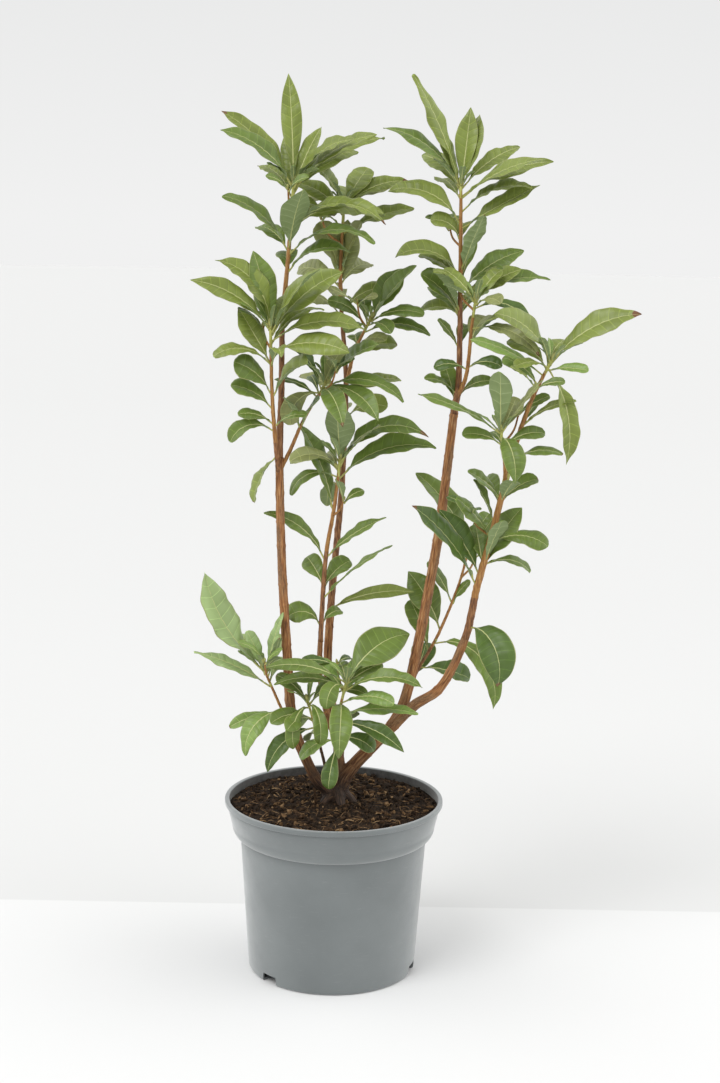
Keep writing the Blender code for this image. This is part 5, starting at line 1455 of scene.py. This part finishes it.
def add_bud(shapes, foot, forward, length):
    """A pointed bud with overlapping scales."""
    path = [foot + forward * (length * n / 9) for n in range(10)]
    radii = [length * BUD_FATNESS * math.sin(math.pi * (0.18 + 0.80 * n / 9)) ** 0.8 + 0.0002
             for n in range(10)]

    def scales(turn, ring):
        return 1.0 + 0.13 * abs(math.sin(turn * math.tau * 1.5 + ring * 0.8))

    shapes.add(*round_tube(path, radii, 12, scales), "bud_scale")


def make_twigs(mass, twigs, leaves, settings, materials):
    """One mass's shoot with its side twigs and buds."""
    chance = random.Random(mass.seed + 500)
    shapes = Shapes()
    limb = limb_named(mass.stem)
    add_shoot(shapes, limb, settings, chance)
    path = limb_path(limb, LIMB_STEPS)[0]
    add_bud(shapes, path[-1], (path[-1] - path[-3]).normalized(), settings.bud_length)
    for twig in twigs:
        fine = smooth_path(twig, steps=6)
        radii = [TWIG_RADIUS * (1.15 - 0.35 * n / (len(fine) - 1)) for n in range(len(fine))]
        shapes.add(*round_tube(fine, radii, 8), "shoot_red")
        add_bud(shapes, fine[-1], (fine[-1] - fine[-2]).normalized(), settings.bud_length * 0.5)
    for leaf in leaves[::3]:
        if leaf.length > 0.05:
            outward = heading(leaf.bearing)
            foot = leaf.foot + outward * 0.0012 + Vector((0, 0, 0.0016))
            add_bud(shapes, foot, (outward + Vector((0, 0, 1.6))).normalized(), settings.bud_length * 0.42)
    return shapes.piece(mass.stem + "_twigs", materials)


# Leaves

def leaf_frames(leaf, steps=36):
    """The midrib's places and the blade's directions as arrays, one row for each step."""
    rows = []
    for step in range(steps + 1):
        place, _, side, up = midrib(leaf, step / steps)
        rows.append([*place, *side, *up])
    return np.linspace(0.0, 1.0, steps + 1), np.array(rows)


def half_width(leaf, share):
    """Half the blade's width along the leaf, with a narrow stalk before it.

    Small leaves have rounder tips."""
    a = LEAF_WIDEST_POWER
    b = LEAF_TIP_POWER if leaf.length > SMALL_LEAF else SMALL_LEAF_TIP_POWER
    blade = np.clip((share - PETIOLE_SHARE) / (1.0 - PETIOLE_SHARE), 0.0, 1.0)
    widest = a / (a + b)
    shape = blade ** a * (1 - blade) ** b / (widest ** a * (1 - widest) ** b)
    stalk = PETIOLE_HALF_WIDTH * 1.05 * np.minimum(1.0, (1.0 - share) * 12)
    return np.maximum(stalk, leaf.width / 2 * shape)


def fine_leaf(leaf, settings, chance):
    """A blade with a keeled midrib, slanting side veins, quilted fields and a waved margin.

    Gives its points as rings from the foot to the tip, each first over the blade and then under it."""
    pairs = settings.vein_pairs if leaf.length > FEW_VEINS_LENGTH else max(3, settings.vein_pairs - 4)
    rows = [0.0, 0.02, 0.05, PETIOLE_SHARE]
    phases = [0.0] * 4
    first = PETIOLE_SHARE + 0.02
    field = (BLADE_END - first) / pairs
    for pair in range(pairs):
        rows += [first + field * (pair + phase) for phase in VEIN_ROWS]
        phases += VEIN_ROWS
    rows += [TIP_ROW]
    phases += [0.0]
    share = np.array(rows)[:, None]
    phase = np.array(phases)[:, None]
    across = np.array(BLADE_ACROSS)[None, :]
    middle = len(BLADE_ACROSS) // 2
    out = np.abs(across)
    slanted = share + VEIN_SLANT * out ** 1.1 * np.minimum(1.0, 6.0 * share) * np.sqrt(1.0 - share)
    half = half_width(leaf, slanted)
    keel = np.minimum(0.5, KEEL_HALF_WIDTH * (1.15 - share) / half)
    column = np.arange(len(BLADE_ACROSS))[None, :]
    across = np.where(column == middle - 1, -keel, np.where(column == middle, keel, across))
    out = np.abs(across)
    blade = np.clip((slanted - PETIOLE_SHARE) / 0.06, 0.0, 1.0)
    swell = settings.quilt * np.minimum(1.0, half / 0.008) * np.sin(math.pi * phase) * (1 - out ** 3)
    shift = chance.uniform(0, math.tau)
    waves = chance.uniform(1.6, 3.2)
    turned = np.sin(math.tau * waves * slanted + shift + 1.3 * np.sign(across))
    turned += 0.5 * np.sin(math.tau * waves * 2.3 * slanted + shift * 2 - np.sign(across))
    ripple = settings.wave * leaf.length / 0.09 * out ** 2 * turned
    fold = BLADE_FOLD * chance.uniform(0.55, 1.35)
    roll = BLADE_ROLL * chance.uniform(0.6, 2.0)
    top = blade * (half * (fold * out - roll * out ** 2.6) + swell + ripple)
    thick = settings.thickness * (1.0 - 0.75 * out ** 6)
    rib = RIB_DEPTH * (1 - slanted) ** 1.1 + RIB_TIP_DEPTH
    rib = rib * np.exp(-(half * across / RIB_HALF_WIDTH) ** 2)
    steps, frames = leaf_frames(leaf)
    at = [np.interp(np.minimum(slanted, 0.999), steps, frames[:, number]) for number in range(9)]
    twist = math.radians(chance.uniform(-30, 30)) * np.maximum(0.0, slanted - 0.35)
    place = np.stack(at[0:3], -1)
    side = np.stack(at[3:6], -1)
    up = np.stack(at[6:9], -1)
    cosine = np.cos(twist)[..., None]
    sine = np.sin(twist)[..., None]
    side, up = side * cosine - up * sine, up * cosine + side * sine
    reach = side * (half * across)[..., None]
    upper = place + reach + up * top[..., None]
    under = (place + reach + up * (top - thick - rib)[..., None])[:, len(BLADE_ACROSS) - 2:0:-1]
    return np.concatenate([upper, under], 1)


def blade_look(leaf, tone, ring, column, rings, browned):
    """The material of one face of the blade, by its ring and its column."""
    middle = len(BLADE_ACROSS) // 2 - 1
    last = len(BLADE_ACROSS) - 1
    vein = ring >= 4 and (ring - 4) % len(VEIN_ROWS) == 0
    if ring < 3:
        return "petiole"
    if column in (middle, last + middle):
        return "midrib"
    if ring >= rings - browned:
        return "brown"
    if column in (0, last - 1):
        return "margin"
    if column >= last:
        return "underside_vein" if vein else "underside"
    if vein:
        return tone + "_vein"
    field = (ring - 4) // len(VEIN_ROWS) + 0.5
    spot = Vector((leaf.bearing * 3.1, field * 0.30, column * 0.20 + (9.0 if column > middle else 0.0)))
    value = noise.noise(spot)
    return tone + ("_dark" if value < -0.16 else "_light" if value > 0.16 else "_even")


def add_leaf(shapes, leaf, tone, browned, settings, chance):
    """Closes one blade at its foot and tip and adds it to its mass."""
    points = fine_leaf(leaf, settings, chance)
    rings, around = points.shape[:2]
    points = [Vector(point) for point in points.reshape(-1, 3)]
    faces = tube_faces(rings, around)
    looks = [blade_look(leaf, tone, ring, column, rings, browned)
             for ring in range(rings - 1) for column in range(around)]
    foot = len(points)
    last = foot - around
    points += [Vector(leaf.foot), midrib(leaf, 1.0)[0]]
    faces += [(foot, (column + 1) % around, column) for column in range(around)]
    faces += [(foot + 1, last + column, last + (column + 1) % around) for column in range(around)]
    looks += ["petiole"] * around + ["brown" if browned else tone + "_vein"] * around
    shapes.add(points, faces, looks)


def bud_leaves(mass, leaves, others, settings, chance):
    """The small young leaves that stand round the bud, inside the space of the mass."""
    path = limb_path(limb_named(mass.stem))[0]
    low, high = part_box(mass.stem)
    blades = [coarse_leaf(leaf, 0.0, 1) for leaf in leaves]
    young = []
    first = chance.uniform(0, 360)
    for number in range(settings.bud_leaves):
        bearing = first + number * SPRAY_TURN
        length = 0.018 + 0.005 * number
        leaf = Leaf(leaf_foot(path, path[-1].z - 0.0006 * number, bearing), bearing,
                    chance.uniform(58, 80) - 5 * number, chance.uniform(15, 40),
                    chance.uniform(-12, 12), chance.uniform(-20, 20), length, length * 0.25)
        tip = midrib(leaf, 1.0)[0]
        inside = all(low[axis] < tip[axis] < high[axis] for axis in range(3))
        kept = clear_leaf(leaf, others, blades) if inside else None
        if kept:
            young.append(kept)
            blades.append(coarse_leaf(kept, 0.0, 1))
    return young


def make_leaves(mass, leaves, young, settings, materials):
    """One mass's leaves: the lower a spray sits on its shoot, the older its tone."""
    chance = random.Random(mass.seed + 900)
    shapes = Shapes()
    tones = MASS_TONES[mass.stem]
    for number, leaf in enumerate(leaves):
        age = min(2, int(3 * number / len(leaves)))
        tone = tones[age] if chance.random() < OWN_TONE_SHARE else chance.choice(tones)
        browned = chance.choice((1, 2, 3)) if chance.random() < BROWN_TIP_SHARE else 0
        if leaf.length < SMALL_LEAF:
            browned = min(1, browned)
        add_leaf(shapes, leaf, tone, browned, settings, chance)
    for leaf in young:
        add_leaf(shapes, leaf, "fresh", 0, settings, chance)
    return shapes.piece(mass.stem + "_leaves", materials)


# Stage

def floor_material(table_edge):
    """A white table, and a slightly greyer ground behind it."""
    material, tree, shader = surface("floor_white", 0.85)
    shader.inputs["Specular IOR Level"].default_value = 0.1
    place = tree.nodes.new("ShaderNodeTexCoord").outputs["Object"]
    split = tree.nodes.new("ShaderNodeSeparateXYZ")
    tree.links.new(place, split.inputs["Vector"])
    edge = ranged(tree, split.outputs["Y"], 0.0, 1.0, table_edge - 0.0015, table_edge + 0.0015)
    near = colours_by(tree, noise_on(tree, 3.0), (0.3, (0.742, 0.744, 0.744)), (0.7, (0.748, 0.750, 0.750)))
    away = ranged(tree, split.outputs["Y"], 0.0, 1.0, table_edge, 6.0)
    far = colours_by(tree, away, (0.0, (0.680, 0.682, 0.680)), (0.3, (0.656, 0.658, 0.656)),
                     (1.0, (0.642, 0.644, 0.642)))
    tree.links.new(mixed(tree, edge, near, far), shader.inputs["Base Color"])
    return material


def make_floor(settings):
    """A wide level disc that the pot stands on."""
    rings = (0.0, 1.0, 2.5, 6.0, 14.0, 30.0)
    turns = 48
    points = [Vector((0.0, 0.0, 0.0))]
    for radius in rings[1:]:
        for turn in range(turns):
            angle = math.tau * turn / turns
            points.append(Vector((radius * math.cos(angle), radius * math.sin(angle), 0.0)))
    faces = disc_faces(len(rings) - 1, turns)
    return new_piece("floor", points, faces, [0] * len(faces), [floor_material(settings.table_edge)])


def make_world(strength):
    """Soft light, brighter from above, behind a plain pale backdrop."""
    world = bpy.data.worlds.new("studio")
    bpy.context.scene.world = world
    world.use_nodes = True
    tree = world.node_tree
    tree.nodes.clear()
    place = tree.nodes.new("ShaderNodeTexCoord").outputs["Generated"]
    split = tree.nodes.new("ShaderNodeSeparateXYZ")
    tree.links.new(place, split.inputs["Vector"])
    aside = tree.nodes.new("ShaderNodeMath")
    aside.operation = "ABSOLUTE"
    tree.links.new(split.outputs["X"], aside.inputs[0])
    sides = ranged(tree, aside.outputs["Value"], strength * 0.70, strength * 1.75, 0.30, 0.80)
    lamp = tree.nodes.new("ShaderNodeBackground")
    tree.links.new(sides, lamp.inputs["Strength"])
    backdrop = tree.nodes.new("ShaderNodeBackground")
    for shader, low, high, first, last in (
            (lamp, -0.2, 1.0, (0.80, 0.82, 0.84), (1.30, 1.29, 1.27)),
            (backdrop, 0.0, 0.5, (0.879, 0.880, 0.878), (0.650, 0.660, 0.660))):
        shade = tree.nodes.new("ShaderNodeMix")
        shade.data_type = "RGBA"
        shade.inputs[MIX_FIRST].default_value = (*first, 1.0)
        shade.inputs[MIX_SECOND].default_value = (*last, 1.0)
        tree.links.new(ranged(tree, split.outputs["Z"], 0.0, 1.0, low, high), shade.inputs["Factor"])
        tree.links.new(shade.outputs[MIX_RESULT], shader.inputs["Color"])
    ray = tree.nodes.new("ShaderNodeLightPath")
    choice = tree.nodes.new("ShaderNodeMixShader")
    output = tree.nodes.new("ShaderNodeOutputWorld")
    tree.links.new(ray.outputs["Is Camera Ray"], choice.inputs["Fac"])
    tree.links.new(lamp.outputs["Background"], choice.inputs[1])
    tree.links.new(backdrop.outputs["Background"], choice.inputs[2])
    tree.links.new(choice.outputs["Shader"], output.inputs["Surface"])


def add_sun(name, strength, azimuth, height, spread):
    """A soft light from far away, from a bearing and a height in degrees."""
    lamp = bpy.data.lights.new(name, "SUN")
    lamp.energy = strength
    lamp.angle = math.radians(spread)
    sun = bpy.data.objects.new(name, lamp)
    rise = math.radians(height)
    source = heading(azimuth) * math.cos(rise) + Vector((0, 0, math.sin(rise)))
    sun.rotation_euler = source.to_track_quat("Z", "Y").to_euler()
    bpy.context.scene.collection.objects.link(sun)


def add_camera(settings):
    """The camera at the photograph's viewing angle."""
    view = bpy.data.cameras.new("camera")
    view.lens = settings.lens
    view.sensor_width = 36.0
    view.clip_end = 200.0
    camera = bpy.data.objects.new("camera", view)
    tilt = settings.camera_tilt
    bank = settings.camera_bank
    right = Vector((1.0, 0.0, 0.0))
    upward = Vector((0.0, math.sin(tilt), math.cos(tilt)))
    forward = Vector((0.0, math.cos(tilt), -math.sin(tilt)))
    columns = (right * math.cos(bank) + upward * math.sin(bank),
               upward * math.cos(bank) - right * math.sin(bank), -forward)
    turn = Matrix(columns).transposed().to_4x4()
    camera.matrix_world = Matrix.Translation(settings.camera_place) @ turn
    bpy.context.scene.collection.objects.link(camera)
    bpy.context.scene.camera = camera


# Operators

class RHODO_OT_pot(bpy.types.Operator):
    """Make the moulded pot"""

    bl_idname = "rhodo.pot"
    bl_label = "Pot"

    def execute(self, context):
        pot = make_pot_shell(context.scene.rhodo_pot)
        if len(pot.data.vertices) < POT_TURNS:
            raise RuntimeError("the pot lost its wall when its notches were cut")
        settle(pot, "pot", "pot")
        return {"FINISHED"}


class RHODO_OT_peat(bpy.types.Operator):
    """Lay the peat, its crumbs and its fibres"""

    bl_idname = "rhodo.peat"
    bl_label = "Peat"

    def execute(self, context):
        settings = context.scene.rhodo_peat
        chance = random.Random(settings.seed)
        materials = peat_materials()
        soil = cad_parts["soil"]
        soil.data.materials.clear()
        soil.data.materials.append(materials["peat_dark"])
        pieces = (make_peat_surface(settings, materials),
                  make_peat_crumbs(settings, materials, chance),
                  make_peat_fibres(settings, materials, chance))
        for piece in pieces:
            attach(piece, "root")
        return {"FINISHED"}


class RHODO_OT_bark(bpy.types.Operator):
    """Cover the stump and the boughs with bark"""

    bl_idname = "rhodo.bark"
    bl_label = "Bark"

    def execute(self, context):
        bark = make_bark(context.scene.rhodo_bark)
        settle(bark, "bark", "trunk", *[limb.name for limb in BOUGHS])
        return {"FINISHED"}


class RHODO_OT_shoots(bpy.types.Operator):
    """Grow the shoots, the side twigs and the buds"""

    bl_idname = "rhodo.shoots"
    bl_label = "Shoots"

    def execute(self, context):
        materials = shoot_materials()
        grown = grow_plant()
        for mass in MASSES:
            twigs, leaves = grown[mass.stem]
            settle(make_twigs(mass, twigs, leaves, context.scene.rhodo_shoots, materials), "bark", mass.stem)
        return {"FINISHED"}


class RHODO_OT_leaves(bpy.types.Operator):
    """Grow the leaves"""

    bl_idname = "rhodo.leaves"
    bl_label = "Leaves"

    def execute(self, context):
        settings = context.scene.rhodo_leaves
        materials = leaf_materials()
        grown = grow_plant()
        for mass in MASSES:
            leaves = grown[mass.stem][1]
            if not leaves:
                raise RuntimeError("no leaf found room in " + mass.stem)
            others = mesh_tree([coarse_leaf(leaf) for name, (_, each) in grown.items()
                                if name != mass.stem for leaf in each])
            young = bud_leaves(mass, leaves, others, settings, random.Random(mass.seed + 700))
            settle(make_leaves(mass, leaves, young, settings, materials), "leaf", mass.stem)
        return {"FINISHED"}


class RHODO_OT_stage(bpy.types.Operator):
    """Set the floor, the light and the camera"""

    bl_idname = "rhodo.stage"
    bl_label = "Stage"

    def execute(self, context):
        settings = context.scene.rhodo_stage
        make_floor(settings)
        make_world(settings.sky)
        add_sun("key", settings.key, azimuth=-38, height=52, spread=30)
        add_sun("fill", settings.fill, azimuth=78, height=30, spread=60)
        add_camera(settings)
        context.scene.view_settings.view_transform = "Standard"
        return {"FINISHED"}


class RHODO_PT_panel(bpy.types.Panel):
    """Buttons for every piece and its settings"""

    bl_idname = "RHODO_PT_panel"
    bl_label = "Potted rhododendron"
    bl_space_type = "VIEW_3D"
    bl_region_type = "UI"
    bl_category = "Rhododendron"

    def draw(self, context):
        for operator, name in STEPS:
            box = self.layout.box()
            box.operator(operator.bl_idname)
            for prop in getattr(context.scene, name).bl_rna.properties:
                if prop.identifier not in ("name", "rna_type"):
                    box.prop(getattr(context.scene, name), prop.identifier)


# Each operator with the scene property that holds its settings
STEPS = (
    (RHODO_OT_pot, "rhodo_pot"),
    (RHODO_OT_peat, "rhodo_peat"),
    (RHODO_OT_bark, "rhodo_bark"),
    (RHODO_OT_shoots, "rhodo_shoots"),
    (RHODO_OT_leaves, "rhodo_leaves"),
    (RHODO_OT_stage, "rhodo_stage"),
)
SETTINGS = {
    "rhodo_pot": RhodoPotSettings,
    "rhodo_peat": RhodoPeatSettings,
    "rhodo_bark": RhodoBarkSettings,
    "rhodo_shoots": RhodoShootSettings,
    "rhodo_leaves": RhodoLeafSettings,
    "rhodo_stage": RhodoStageSettings,
}


def register():
    """Adds the settings, the operators and the panel."""
    for name, group in SETTINGS.items():
        bpy.utils.register_class(group)
        setattr(bpy.types.Scene, name, PointerProperty(type=group))
    for operator, _ in STEPS:
        bpy.utils.register_class(operator)
    bpy.utils.register_class(RHODO_PT_panel)


def unregister():
    """Takes them away again."""
    bpy.utils.unregister_class(RHODO_PT_panel)
    for operator, _ in reversed(STEPS):
        bpy.utils.unregister_class(operator)
    for name, group in reversed(SETTINGS.items()):
        delattr(bpy.types.Scene, name)
        bpy.utils.unregister_class(group)


def main():
    """Makes every piece and the stage."""
    register()
    bpy.ops.rhodo.pot()
    bpy.ops.rhodo.peat()
    bpy.ops.rhodo.bark()
    bpy.ops.rhodo.shoots()
    bpy.ops.rhodo.leaves()
    bpy.ops.rhodo.stage()


if __name__ == "__main__":
    main()
